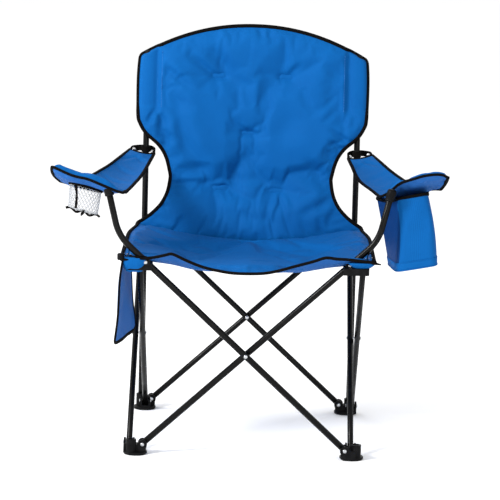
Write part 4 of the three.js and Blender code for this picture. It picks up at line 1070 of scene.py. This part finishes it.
class CHAIR_OT_seat(bpy.types.Operator):
    """Sew the padded seat in its two halves, with its hem, side bindings and tube slits"""
    bl_idname = "chair.seat"
    bl_label = "Seat"

    squash = {"axis": (1, 0, 0), "anchor": tuple(place((-SPAN - 15, 0, 0))), "keep": 0.352}

    def execute(self, context):
        sizes = context.scene.chair_sizes
        middle, flat, fold_row = seat_grids()
        rows, columns = middle.shape[:2]
        taper = edge_taper(rows, columns, 4)
        half = 3.5 * taper
        half[[0, -1], :] = half[:, [0, -1]] = 0
        held = np.zeros((rows, columns))
        held[[0, 1, -2, -1], :] = held[:, [0, 1, -2, -1]] = 1
        offset = half[..., None] * np.array([0, 0, 1.0])
        top, under = inflate(middle + offset, middle - offset, held, 3.0, sizes.seat_lift / MM,
                             0.03)
        under = mix(middle, under, 0.35)
        top[..., 2] -= crease(middle[..., 0], middle[..., 1], SEAT_FOLDS) * taper
        cut = fold_row + 1
        for name, body, part, open_row in (
                ("seat_front_padded", "seat_front_half", slice(0, cut), -1),
                ("seat_rear_padded", "seat_rear_half", slice(fold_row, rows), 0)):
            piece = panel(name, top[part], under[part], flat[part], finish("cloth"), open_row)
            piece.data.materials.append(finish("backing"))
            paint_facing(piece, 2, -0.2)
            settle(piece, body, "blue_fabric", name.replace("_padded", ""), squash=self.squash,
                   pad=0.4)

        width = sizes.binding / MM / 2
        front_edge = np.vstack([middle[fold_row::-1, 0], middle[0, 1:-1],
                                middle[:fold_row + 1, -1]])
        edges = [("seat_front_binding", "seat_front_half", front_edge),
                 ("seat_left_rear_binding", "seat_rear_half", middle[fold_row:, 0]),
                 ("seat_right_rear_binding", "seat_rear_half", middle[fold_row:, -1])]
        for name, body, line in edges:
            path = resample(line, max(24, int(length_of(line) / 4)))
            tape = carry(name, path, (0, 0, 1), oval(width, 3.2, 14, 2.6), finish("tape"))
            settle(tape, body, "black_webbing", squash=self.squash)
        self.tube_slits()
        return {"FINISHED"}

    def tube_slits(self):
        """An oval of tape round each arm tube where it passes through the seat's corner, and the
        light stitches beside it."""
        middle = seat_grids()[0].reshape(-1, 3)
        for name, side in SIDES:
            plane = measured(f"front_tube_{name}_arm")[2][1]
            line = arm_line()
            across = np.interp(SLIT_HEIGHT, line[:, 1], line[:, 0])
            centre = np.array([side * across, plane, 0])
            ring = centre + np.stack([17 * np.cos(TURN), 10 * np.sin(TURN), 0 * TURN], 1)
            near = np.argmin(((middle[None, :, :2] - ring[:, None, :2]) ** 2).sum(-1), axis=1)
            ring[:, 2] = middle[near, 2] + 6
            tape = carry(f"{name}_tube_slit", ring, (0, 0, 1), oval(3.2, 1.6, 10, 2.4),
                         finish("tape"), closed=True)
            settle(tape, "seat_front_half", "black_webbing", squash=self.squash)
            row = np.linspace([-34, 14, 0], [30, 14, 0], 12) * [side, 1, 1] + centre
            near = np.argmin(((middle[None, :, :2] - row[:, None, :2]) ** 2).sum(-1), axis=1)
            row[:, 2] = middle[near, 2] + 8
            sewn = stitches(f"{name}_slit_stitching", row, (0, 0, 1), finish("net"), 6, 3.8, 0.7)
            settle(sewn, "seat_front_half", "pale_mesh", squash=self.squash)


# ---- the arms ----

# across and height of each armrest's front edge, from its inner corner out to its tip
ARM_FRONT = {
    "left": [(272, 576), (286, 580), (304, 587), (324, 595), (348, 604), (380, 611), (422, 628)],
    "right": [(285, 578), (296, 584), (309, 595), (324, 608), (342, 618), (366, 628),
              (394, 633), (412, 632), (422, 627)]}
# the rear edge's, and how far out the middle of the outer edge stands
ARM_REAR = {
    "left": [(272, 563), (290, 562), (324, 564), (374, 571), (390, 575), (412, 584)],
    "right": [(285, 566), (300, 567), (335, 570), (375, 578), (397, 585), (415, 588)]}
ARM_OUTER = {"left": (424, 425, 412), "right": (423, 421, 415)}
ARM_INNER = {"left": 272.0, "right": 285.0}
ARM_FRONT_Y = -264.0
ARM_REAR_Y = PAD_HIGH[1]


def arm_grids(name, side, rows=34, columns=36):
    """The stiff front part of an armrest: straight lines from the front edge to the rear one,
    with the outer side a parabola through three points and its rear corner rounded off."""
    front, rear = spline(ARM_FRONT[name], 120), spline(ARM_REAR[name], 120)
    v = np.linspace(0, 1, rows)[:, None]
    u = np.linspace(0, 1, columns)[None, :]
    tip, belly, corner = ARM_OUTER[name]
    outer = mix(tip, corner, v) + (belly - (tip + corner) / 2) * 4 * v * (1 - v)
    inner = ARM_INNER[name]
    across = mix(inner, outer, u)
    front_z = np.interp(mix(inner, tip, u), front[:, 0], front[:, 1])
    rear_z = np.interp(mix(inner, corner, u), rear[:, 0], rear[:, 1])
    z = mix(front_z, rear_z, v)
    round_off = 26 * np.maximum(0, (u - 0.72) / 0.28) ** 2.5
    step_back = 4 * (1 - u) ** 8 if name == "left" else 42 * (1 - ease(0.2, 0.55, u))
    y = mix(ARM_FRONT_Y + step_back + 5 * u ** 12, ARM_REAR_Y - round_off, v)
    x = side * across
    return np.stack([x, y, z], -1), np.stack([x, y + z], -1)


def with_hole(piece, radius):
    """Cuts the round hole for the cup holder's ring through a finished pad."""
    across, along, _ = cup_axes()
    axis = np.cross(across, along)
    drill = turned("drill", [(-60, radius), (60, radius)], RING, axis, finish("tape"), 48)
    cut = piece.modifiers.new("hole", "BOOLEAN")
    cut.operation = "DIFFERENCE"
    cut.solver = "EXACT"
    cut.object = drill
    evaluated = piece.evaluated_get(bpy.context.evaluated_depsgraph_get())
    mesh = bpy.data.meshes.new_from_object(evaluated)
    piece.modifiers.clear()
    piece.data = mesh
    bpy.data.objects.remove(drill)
    return piece


class CHAIR_OT_armrests(bpy.types.Operator):
    """Sew the stiff padded front part of each armrest with its binding"""
    bl_idname = "chair.armrests"
    bl_label = "Armrests"

    def execute(self, context):
        sizes = context.scene.chair_sizes
        width = sizes.arm_binding / MM / 2
        for name, side in SIDES:
            middle, flat = arm_grids(name, side)
            rows, columns = middle.shape[:2]
            normal = normals_of(middle)
            normal *= np.sign(normal[..., 2:])
            swell = (3.4 if name == "left" else 1.4) * ease(0, 0.3, np.linspace(0, 1, columns))
            front_roll = 1 + swell * (1 - ease(0, 14, np.arange(rows)))[:, None]
            half = 3.5 * edge_taper(rows, columns, 3) * front_roll
            half[[0, -1], :] = half[:, [0, -1]] = 0
            held = np.zeros((rows, columns))
            held[[0, -1], :] = held[:, [0, -1]] = 1
            offset = normal * half[..., None]
            top, under = inflate(middle + offset, middle - 0.4 * offset, held, 3.0,
                                 sizes.arm_lift / MM, 0.03)
            pad = panel(f"{name}_armrest_padded", top, under, flat, finish("cloth"))
            pad.data.materials.append(finish("backing"))
            paint_facing(pad, 2, -0.2)
            if name == "left":
                pad = with_hole(pad, 36.5)
            settle(pad, f"{name}_armrest", "blue_fabric", f"{name}_armrest_pad", pad=0.6)
            border = np.vstack([middle[:, 0], middle[-1, 1:-1], middle[::-1, -1],
                                middle[0, -2:0:-1]])
            path = resample(np.vstack([border, border[:1]]), 221)[:-1]
            tape = carry(f"{name}_armrest_binding", path, (0, 0.1, 1), oval(width, 3.0, 12, 2.6),
                         finish("tape"), closed=True)
            settle(tape, f"{name}_armrest", "black_webbing")
            inset = top[7, 2:-2] + normal[7, 2:-2] * 0.3
            sewn = stitches(f"{name}_armrest_stitching", inset, (0, 0, 1), finish("thread"),
                            sizes.stitch / MM)
            settle(sewn, f"{name}_armrest", "blue_fabric")
        return {"FINISHED"}


def sling_grid(name, side, rows=60, columns=26):
    """The loose cloth from the armrest to the post: straight across between its two edges, with
    a sag in the middle, a dip at its rear hem round the post, and slanting pull folds."""
    inner_x = ARM_INNER[name]
    inner = spline([(inner_x, ARM_REAR_Y - 8, ARM_REAR[name][0][1] - 2),
                    (inner_x - 10, -40, 563), (246, 70, 574),
                    (233, 170, 592), (226, 238, 603)], rows)[:, None]
    outer_x = 386 if name == "left" else 388
    outer_z = np.interp(outer_x, *np.array(ARM_REAR[name], float).T)
    outer = spline([(outer_x, ARM_REAR_Y - 8, outer_z - 2), (352, -20, 583),
                    (322, 90, 592), (298, 180, 604), (281, 238, 613)], rows)[:, None]
    u = np.linspace(0, 1, columns)[None, :, None]
    v = np.linspace(0, 1, rows)[:, None, None]
    grid = mix(inner, outer, u)
    dish = (4 * u * (1 - u))[..., 0]
    grid[..., 2] -= 9 * dish * np.sin(np.pi * np.clip(v[..., 0] * 0.9 + 0.05, 0, 1))
    grid[..., 1] -= 20 * dish * ease(0.8, 1, v[..., 0])
    across = np.broadcast_to(u[..., 0], (rows, columns)) * 100
    along = np.broadcast_to(v[..., 0], (rows, columns)) * 380
    folds = [(10, 20, 80, 60, 9, 2.2), (15, 120, 90, 150, 10, 2.4), (20, 210, 85, 250, 10, 2.2),
             (10, 300, 60, 350, 8, 2.0), (90, 300, 55, 355, 8, 2.0)]
    grid[..., 2] -= crease(across, along, folds)
    grid[..., 0] *= side
    return grid, np.stack([side * across, along], -1)


class CHAIR_OT_slings(bpy.types.Operator):
    """Hang the loose rear part of each armrest, bound on both edges, from its post"""
    bl_idname = "chair.slings"
    bl_label = "Armrest slings"

    def execute(self, context):
        width = context.scene.chair_sizes.arm_binding / MM / 2
        for name, side in SIDES:
            grid, flat = sling_grid(name, side)
            rows, columns = grid.shape[:2]
            squash = {"axis": (-side * 0.2707, 0.8077, 0.5236),
                      "anchor": tuple(place((side * POST_X, POST_X, LOOP[2] - 3))), "keep": 0.12}
            body = f"rear_{name}_post"
            normal = normals_of(grid)
            normal *= np.sign(normal[..., 2:])
            thickness = 1.3 * edge_taper(rows, columns, 1)[..., None]
            points, faces, corners, _ = layered(grid + normal * thickness,
                                                grid - normal * thickness)
            uv = flat[corners[:, 0], corners[:, 1]] * MM
            cloth = new_piece(f"{name}_sling_cloth", points, faces, finish("cloth"), uv)
            smoother(cloth)
            settle(cloth, body, "blue_fabric", f"{name}_armrest_sling", squash=squash)
            edges = (("inner", grid[:, 0]), ("outer", grid[:, -1]), ("rear", grid[-1]))
            tapes = [carry(f"{name}_sling_{edge}", resample(line, 70), (0, 0.1, 1),
                           oval(width * (0.8 if edge == "rear" else 1), 2.6, 12, 2.6),
                           finish("tape")) for edge, line in edges]
            settle(join(f"{name}_sling_binding", tapes), body, "black_webbing", squash=squash)
        return {"FINISHED"}


class CHAIR_OT_post_loops(bpy.types.Operator):
    """Pass the webbing loop of each armrest behind its post, with its eyelets"""
    bl_idname = "chair.post_loops"
    bl_label = "Post loops"

    def execute(self, context):
        for name, side in SIDES:
            z = LOOP[2]
            route = spline([(280, 234, z - 2), (276, 252, z), (262, 262, z + 1),
                            (POST_X, 256, z + 2), (232, 254, z), (224, 244, z - 4),
                            (227, 234, z - 9)], 60) * [side, 1, 1]
            strap = carry(f"{name}_loop_strap", route, (0, 0, 1), oval(1.1, 7, 14, 3.5),
                          finish("webbing"))
            collar = carry(f"{name}_loop_collar", np.array([side * POST_X, POST_X, z]) + np.stack(
                [9.3 * np.cos(TURN), 9.3 * np.sin(TURN), 0 * TURN], 1), (0, 0, 1),
                oval(1.2, 6.5, 12, 3.5), finish("webbing"), closed=True)
            eyelets = [turned(f"{name}_eyelet_{k}", [(-2.2, 1.6), (-2.2, 3.4), (-1.2, 4.2),
                                                     (1.2, 4.2), (2.2, 3.4), (2.2, 1.6)],
                              (side * x, y, z + dz), (side * 0.3, 1, 0.1), finish("zinc"), 20)
                       for k, (x, y, dz) in enumerate(((272, 236, 0), (230, 236, -5)))]
            loop = join(f"{name}_post_loop_webbing", [strap, collar])
            settle(loop, f"rear_{name}_post", "black_webbing", f"{name}_post_loop")
            settle(join(f"{name}_loop_eyelets", eyelets), f"rear_{name}_post", "rivet_steel")
        return {"FINISHED"}


# ---- the cup holder ----

def cup_axes():
    """The cup holder's own axes. Its ring lies in the armrest, outer side and front up, and its
    net hangs nearly upright from it."""
    tilt, nod = math.radians(14), math.radians(12)
    return np.array([[math.cos(tilt), 0, -math.sin(tilt)], [0, math.cos(nod), -math.sin(nod)],
                     [0.1, 0, 0.995]])


def in_cup(points):
    """Points in the cup holder's own axes as points of the chair."""
    return RING + np.asarray(points, float) @ cup_axes()


class CHAIR_OT_cup_holder(bpy.types.Operator):
    """Knit the net cup with its bound ring, side strap and crossed ribbons"""
    bl_idname = "chair.cup_holder"
    bl_label = "Cup holder"

    def execute(self, context):
        thread = context.scene.chair_sizes.net_thread / MM
        top, bottom, depth = 35.5, 33.0, 56.0
        body = "left_armrest"
        ring = in_cup(np.stack([36.4 * np.cos(TURN), 36.4 * np.sin(TURN), -6 + 0 * TURN], 1))
        tape = carry("cup_ring_binding", ring, cup_axes()[2], oval(2.4, 6.0, 12, 2.8),
                     finish("tape"), closed=True)
        settle(tape, body, "black_webbing", "cup_ring")

        threads = []
        steps = np.linspace(0, 1, 13)
        count = 26
        for way in (-1, 1):
            for start in range(count):
                angle = 2 * np.pi * start / count + way * steps * 1.15
                radius = mix(top, bottom, steps) + 0.6 * way * np.sin(12 * np.pi * steps)
                line = np.stack([radius * np.cos(angle), radius * np.sin(angle),
                                 -4 - depth * steps], 1)
                threads.append(in_cup(line))
        for start in range(9):
            offset = mix(-0.86, 0.86, start / 8) * bottom
            reach = math.sqrt(bottom ** 2 - offset ** 2)
            across = np.linspace(-reach, reach, 9)
            dip = -4 - depth - 3 * (1 - (across / bottom) ** 2 - (offset / bottom) ** 2)
            for line in (np.stack([across, np.full(9, offset), dip], 1),
                         np.stack([np.full(9, offset), across, dip], 1)):
                threads.append(in_cup(line))
        for level in (0.0, 1.0):
            radius = mix(top, bottom, level)
            threads.append(in_cup(np.stack([radius * np.cos(TURN), radius * np.sin(TURN),
                                            np.full(len(TURN), -4 - depth * level)], 1)))
        strands = [carry(f"net_thread_{k}", line, (0.2, 0.3, 0.9), oval(thread, thread, 5),
                         finish("net"), closed=len(line) == len(TURN))
                   for k, line in enumerate(threads)]
        settle(join("cup_net_threads", strands), body, "pale_mesh", "cup_net")

        bow = np.linspace(-1, 1, 25)
        wave = -4 - depth - 3.5 + 3.5 * np.cos(2.6 * np.pi * bow) * (1 - 0.3 * bow ** 2)
        ribbons = [carry("ribbon_across", in_cup(np.stack([38 * bow, 3 * bow, wave], 1)),
                         (0, -0.75, 0.65), oval(1.2, 4.6, 10, 3), finish("webbing")),
                   carry("ribbon_along", in_cup(np.stack([-3 * bow, 36 * bow, wave - 1.8], 1)),
                         (0.75, 0, 0.65), oval(1.2, 4.6, 10, 3), finish("webbing"))]
        fall = np.linspace(0, 1, 13)
        side = np.stack([mix(-24, -14, fall) + 3 * np.sin(np.pi * fall), mix(-29, -31, fall),
                         3 - (depth + 8) * fall], 1)
        ribbons.append(carry("side_strap", in_cup(side), (-0.6, -0.8, 0),
                             oval(3.6, 0.9, 10, 3), finish("webbing")))
        settle(join("cup_ribbons", ribbons), body, "black_webbing", "cup_base")
        return {"FINISHED"}


# ---- the cooler pouch ----

def pouch_rings(inset, low, high, rows, corners=80):
    """Sections of the pouch from height share low to high, each a rounded trapezium.

    A section is a superellipse of power 7 whose x is sheared on the inner side, since the inner
    wall slants in towards the rear. The walls are straight lines from bottom to top with a
    bulge of sin(pi t). The floor rises outwards and the top rises outwards and forwards.
    """
    t = np.linspace(low, high, rows)[:, None]
    turn = np.linspace(0, 2 * np.pi, corners, endpoint=False)[None, :]
    a = np.sign(np.cos(turn)) * np.abs(np.cos(turn)) ** (2 / 7)
    b = np.sign(np.sin(turn)) * np.abs(np.sin(turn)) ** (2 / 7)
    bulge = 3.0 * np.sin(np.pi * np.clip(t, 0, 1))
    front = COOLER_LOW[1] + 2 - 2 * t - bulge
    rear = COOLER_HIGH[1] - 12 + 12 * t + bulge
    y = (front + rear) / 2 + b * ((rear - front) / 2 - inset)
    back = np.clip((y - front) / (rear - front), 0, 1)
    inner = mix(mix(321, 315, t), mix(309, 276, t), back) + 2 * bulge * (1 - back)
    outer = mix(411, 386, t ** 1.2) + bulge
    x = (inner + outer) / 2 + a * ((outer - inner) / 2 - inset)
    floor = COOLER_LOW[2] - 2 + 17 * (x - 320) / 90 - 6 * back
    roof = 575 + 14 * (x - 316) / 70 - 17 * (1 - np.exp(-3 * back))
    return np.stack([x, y, mix(floor, roof, t)], -1)


class CHAIR_OT_cooler(bpy.types.Operator):
    """Sew the insulated pouch that hangs from the right armrest, with its base band and zip"""
    bl_idname = "chair.cooler"
    bl_label = "Cooler pouch"

    def execute(self, context):
        body = "right_armrest"
        squash = {"axis": (0, 1, 0), "anchor": tuple(place((0, COOLER_LOW[1], 0))), "keep": 0.5}
        shell = pouch_rings(0, 0.0, 1.0, 40)
        slack = crease(shell[..., 0], shell[..., 2],
                       [(338, 572, 346, 528, 7, 4), (352, 574, 350, 545, 4, 2),
                        (322, 560, 328, 500, 9, 3), (386, 560, 376, 500, 12, 2),
                        (350, 450, 384, 444, 9, 1.5)])
        shell[..., 1] += slack * (shell[..., 1] < -150)
        floor = [pouch_rings(inset, 0.0, 0.0, 1) for inset in (30, 18, 8, 3, 1)]
        roof = [pouch_rings(inset, 1.0, 1.0, 1) for inset in (2, 6, 16, 30)]
        pouch = sweep("cooler_pouch_cloth", np.vstack([*floor, shell, *roof]), finish("cloth"))
        # painted shade: faces that look towards -x, the pouch's inner side, take the darker cloth in
        # place of the shade that falls there
        pouch.data.materials.append(finish("painted_shade_cloth"))
        paint_facing(pouch, 0, -0.8)
        smoother(pouch)
        settle(pouch, body, "blue_fabric", "cooler_bag", "cooler_lid", squash=squash, pad=0.35)

        outer = pouch_rings(-1.0, 0.0, 0.1, 5)
        inner = pouch_rings(0.6, 0.0, 0.1, 5)[::-1]
        band = self.band("cooler_base_band", outer, inner, finish("cloth"))
        settle(band, body, "blue_fabric", squash=squash)

        pipings = [("bottom", 0.0, 1.6), ("band", 0.1, 1.1), ("top", 0.985, 2.2)]
        tapes = [carry(f"cooler_{name}_piping", pouch_rings(-0.4, level, level, 1)[0], (0, 0, 1),
                       oval(size, size * (1.6 if name == "top" else 1), 10),
                       finish("tape" if name == "top" else "cloth"), closed=True)
                 for name, level, size in pipings]
        settle(join("cooler_piping", tapes), body, "blue_fabric", squash=squash)
        self.zip(body, squash)
        return {"FINISHED"}

    @staticmethod
    def band(name, outer, inner, material):
        """A thin closed band between two stacks of rings."""
        rings = np.vstack([outer, inner])
        return sweep(name, np.swapaxes(rings, 0, 1)[::-1], material, True)

    @staticmethod
    def zip(body, squash):
        """Two rows of coil teeth round the pouch's top, and the slider with its pull."""
        line = pouch_rings(2.5, 0.955, 0.955, 1)[0]
        teeth = [stitches(f"zip_row_{k}", line + [0, 0, dz], (0, 0, 1), finish("tape"), 2.6, 1.7,
                          0.8) for k, dz in enumerate((-1.2, 1.2))]
        end = line[np.argmax(line[:, 0] + 0.1 * line[:, 1])]
        slider = [turned("zip_slider", [(-1.8, 1.5), (-1.8, 3.2), (0, 3.8), (2.4, 3.2),
                                        (3.2, 1.5)], end, (1, 0, 0), finish("zinc"), 16),
                  carry("zip_pull", spline([end + [3, 0, -1], end + [6, 0, -8],
                                            end + [6, 1, -20]], 12), (1, 0, 0),
                        oval(2.6, 0.7, 10, 3), finish("webbing"))]
        settle(join("cooler_zip", [*teeth, *slider]), body, "black_webbing", squash=squash)


# ---- the side pocket and the corner pockets ----

class CHAIR_OT_side_pocket(bpy.types.Operator):
    """Hang the flat pocket from the seat's left side, open at its top"""
    bl_idname = "chair.side_pocket"
    bl_label = "Side pocket"

    def sheet(self, out, rows=40, columns=40):
        """One wall: a superellipse of power 8 rounds the bottom, and its front edge swings out
        and its rear edge in as it hangs."""
        u = np.linspace(0, 1, columns)[None, :]
        v = np.linspace(0, 1, rows)[:, None]
        y = mix(POCKET_LOW[1], POCKET_HIGH[1], u) + 0 * v
        round_off = 1 - (1 - np.abs(2 * u - 1) ** 8) ** (1 / 3)
        low = POCKET_LOW[2] + 30 * round_off
        z = mix(low, POCKET_HIGH[2], v)
        fall = (POCKET_HIGH[2] - z) / (POCKET_HIGH[2] - POCKET_LOW[2])
        swing = np.clip(fall, 0, 1) ** 0.85 * (14 - 36 * u ** 1.2)
        belly = out * np.sin(np.pi * u) ** 0.6 * np.sin(np.pi * np.clip(fall, 0, 1)) ** 0.6
        ripple = 1.6 * np.sin(3.2 * np.pi * u + 1.0) * np.sin(2.3 * np.pi * fall)
        x = -(POCKET_HIGH[0] * -1 + 3 + swing + belly + ripple)
        return np.stack([x, y, z], -1), np.stack([y, z], -1)

    def execute(self, context):
        body = "front_left_hub"
        squash = {"axis": (0, 1, 0), "anchor": tuple(place((0, POCKET_LOW[1], 0))), "keep": 0.35}
        outer, flat = self.sheet(9.0)
        inner = self.sheet(-1.0)[0]
        wall = 1.2
        skins = []
        for name, grid, kind in (("outer", outer, "cloth"), ("inner", inner, "backing")):
            offset = np.array([wall / 2, 0, 0])
            rows, columns = grid.shape[:2]
            taper = edge_taper(rows, columns, 1)[..., None]
            skins.append(panel(f"pocket_{name}", grid - offset * taper, grid + offset * taper,
                               flat, finish(kind)))
            skins[-1].modifiers.clear()
        pocket = join("side_pocket_cloth", skins)
        settle(pocket, body, "blue_fabric", "side_pocket", squash=squash)
        width = context.scene.chair_sizes.binding / MM / 2
        edge = np.vstack([outer[::-1, 0], outer[0, 1:-1], outer[:, -1]])
        mouth = outer[-1]
        tapes = [carry("pocket_edge", resample(edge, 150), (-1, 0, 0), oval(width, 2.4, 12, 2.6),
                       finish("tape")),
                 carry("pocket_mouth", resample(mouth, 60), (-1, 0, 0),
                       oval(width * 0.8, 2.0, 12, 2.6), finish("tape"))]
        settle(join("side_pocket_binding", tapes), body, "black_webbing", squash=squash)
        return {"FINISHED"}


class CHAIR_OT_corner_pockets(bpy.types.Operator):
    """Wrap the seat's corner pockets round the front hubs, with their end tabs"""
    bl_idname = "chair.corner_pockets"
    bl_label = "Corner pockets"

    def execute(self, context):
        for name, side in SIDES:
            body = f"front_{name}_hub"
            low = 404.0 if name == "left" else 424.0
            u = np.linspace(-0.5, 1.5, 41)[None, :] * np.pi
            v = np.linspace(0, 1, 16)[:, None]
            droop = np.sin(v * np.pi / 2)
            reach_x = mix(17.0, 30.0, droop)
            reach_y = mix(10.0, 21.0, droop)
            x = side * (245 + reach_x * np.sign(np.cos(u)) * np.abs(np.cos(u)) ** 0.7)
            y = -248 + reach_y * np.sign(np.sin(u)) * np.abs(np.sin(u)) ** 0.7
            z = mix(low, 437.0, v) + 0 * u
            rings = np.stack([x, y, z], -1)[:, :-1]
            cloth = sweep(f"{name}_corner_pocket", rings, finish("cloth"))
            smoother(cloth)
            settle(cloth, body, "blue_fabric")
            tip = np.array([side * 274.0, -262, 438.0])
            if name == "left":
                knob = turned("left_corner_knob", [(-7, 1.5), (-7, 6.5), (-5, 7.6), (5, 7.6),
                                                   (7, 6.2), (7.6, 3)],
                              tip, (0, 0, 1), finish("plastic"), 24)
                settle(knob, body, "black_plastic")
            else:
                tab = carry("right_corner_tab", np.linspace(tip + [-6, 0, 0], tip + [12, -2, -3],
                                                            9), (0, 0, 1),
                            oval(6, 3.4, 12, 2.6), finish("webbing"),
                            scale=np.linspace(1.1, 0.35, 9))
                settle(tab, body, "black_webbing")
            loop = corner_loop(side)
            settle(carry(f"{name}_corner_loop", loop, (0, 1, 0), oval(0.9, 4.5, 10, 3),
                         finish("webbing"), closed=True), body, "black_webbing")
        return {"FINISHED"}


def corner_loop(side):
    """A small standing webbing loop beside the arm tube, at the seat's corner."""
    return np.stack([side * (263 + 6 * np.cos(TURN)), -246 + 0 * TURN, 447 + 9 * np.sin(TURN)], 1)


# ---- the stage ----

CAMERA_PLACE = (10.94, -6004.7, 1338.6)
CAMERA_PITCH = math.pi / 2 - 0.1519
CAMERA_YAW = 0.0013
CAMERA_ROLL = 0.0257
CAMERA_LENS = 194.72


class CHAIR_OT_stage(bpy.types.Operator):
    """Set the camera, the pale floor and the soft studio light"""
    bl_idname = "chair.stage"
    bl_label = "Stage"

    def execute(self, context):
        scene = context.scene
        camera = bpy.data.cameras.new("camera")
        camera.lens = CAMERA_LENS
        camera.sensor_width = 36
        camera.clip_end = 100
        holder = bpy.data.objects.new("camera", camera)
        holder.matrix_world = (Matrix.Translation(place(CAMERA_PLACE))
                               @ Matrix.Rotation(CAMERA_YAW, 4, "Z")
                               @ Matrix.Rotation(CAMERA_PITCH, 4, "X")
                               @ Matrix.Rotation(CAMERA_ROLL, 4, "Z"))
        scene.collection.objects.link(holder)
        scene.camera = holder
        scene.view_settings.view_transform = "Standard"

        far = 60000
        corners = np.array([[-far, -far, 0], [far, -far, 0], [far, far, 0], [-far, far, 0]])
        tone = (*scene.chair_colours.floor, 1.0)
        floor = new_piece("floor", corners, [[0, 1, 2, 3]], pale_floor("painted_floor", tone))

        world = bpy.data.worlds.new("studio")
        world.use_nodes = True
        background = world.node_tree.nodes["Background"]
        background.inputs["Color"].default_value = (1, 1, 1, 1)
        background.inputs["Strength"].default_value = 1.02
        scene.world = world
        for name, where, size, power in (("key", (-2900, -2300, 2500), 1.1, 190),
                                         ("fill", (1500, -4200, 900), 2.2, 36),
                                         ("rim", (-1500, 2200, 2400), 1.6, 20)):
            light = bpy.data.lights.new(name, "AREA")
            light.energy = power
            light.size = size
            lamp = bpy.data.objects.new(name, light)
            lamp.location = place(where)
            aim = np.array([0, 0, 500]) - where
            lamp.rotation_mode = "QUATERNION"
            lamp.rotation_quaternion = Vector(aim).to_track_quat("-Z", "Y")
            scene.collection.objects.link(lamp)
        return {"FINISHED"}


# ---- the add-on ----

OPERATORS = (CHAIR_OT_stage, CHAIR_OT_tubes, CHAIR_OT_feet_and_hubs, CHAIR_OT_rivets,
             CHAIR_OT_caps, CHAIR_OT_back, CHAIR_OT_seat, CHAIR_OT_armrests, CHAIR_OT_slings,
             CHAIR_OT_post_loops, CHAIR_OT_cup_holder, CHAIR_OT_cooler, CHAIR_OT_side_pocket,
             CHAIR_OT_corner_pockets)


class CHAIR_PT_panel(bpy.types.Panel):
    """Lists the chair's operators, sizes and colours"""
    bl_idname = "CHAIR_PT_panel"
    bl_label = "Camp chair"
    bl_space_type = "VIEW_3D"
    bl_region_type = "UI"
    bl_category = "Camp chair"

    def draw(self, context):
        for operator in OPERATORS:
            self.layout.operator(operator.bl_idname)
        for group in (context.scene.chair_sizes, context.scene.chair_colours):
            for name in group.__annotations__:
                self.layout.prop(group, name)


CLASSES = (CHAIR_PG_sizes, CHAIR_PG_colours, *OPERATORS, CHAIR_PT_panel)


def register():
    """Registers the classes and hangs the two groups of properties on the scene."""
    for item in CLASSES:
        bpy.utils.register_class(item)
    bpy.types.Scene.chair_sizes = bpy.props.PointerProperty(type=CHAIR_PG_sizes)
    bpy.types.Scene.chair_colours = bpy.props.PointerProperty(type=CHAIR_PG_colours)


def unregister():
    """Takes the properties and the classes away again."""
    del bpy.types.Scene.chair_colours
    del bpy.types.Scene.chair_sizes
    for item in reversed(CLASSES):
        bpy.utils.unregister_class(item)


def main():
    """Builds the whole chair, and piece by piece."""
    register()
    for operator in OPERATORS:
        group, name = operator.bl_idname.split(".")
        getattr(getattr(bpy.ops, group), name)()


if __name__ == "__main__":
    main()
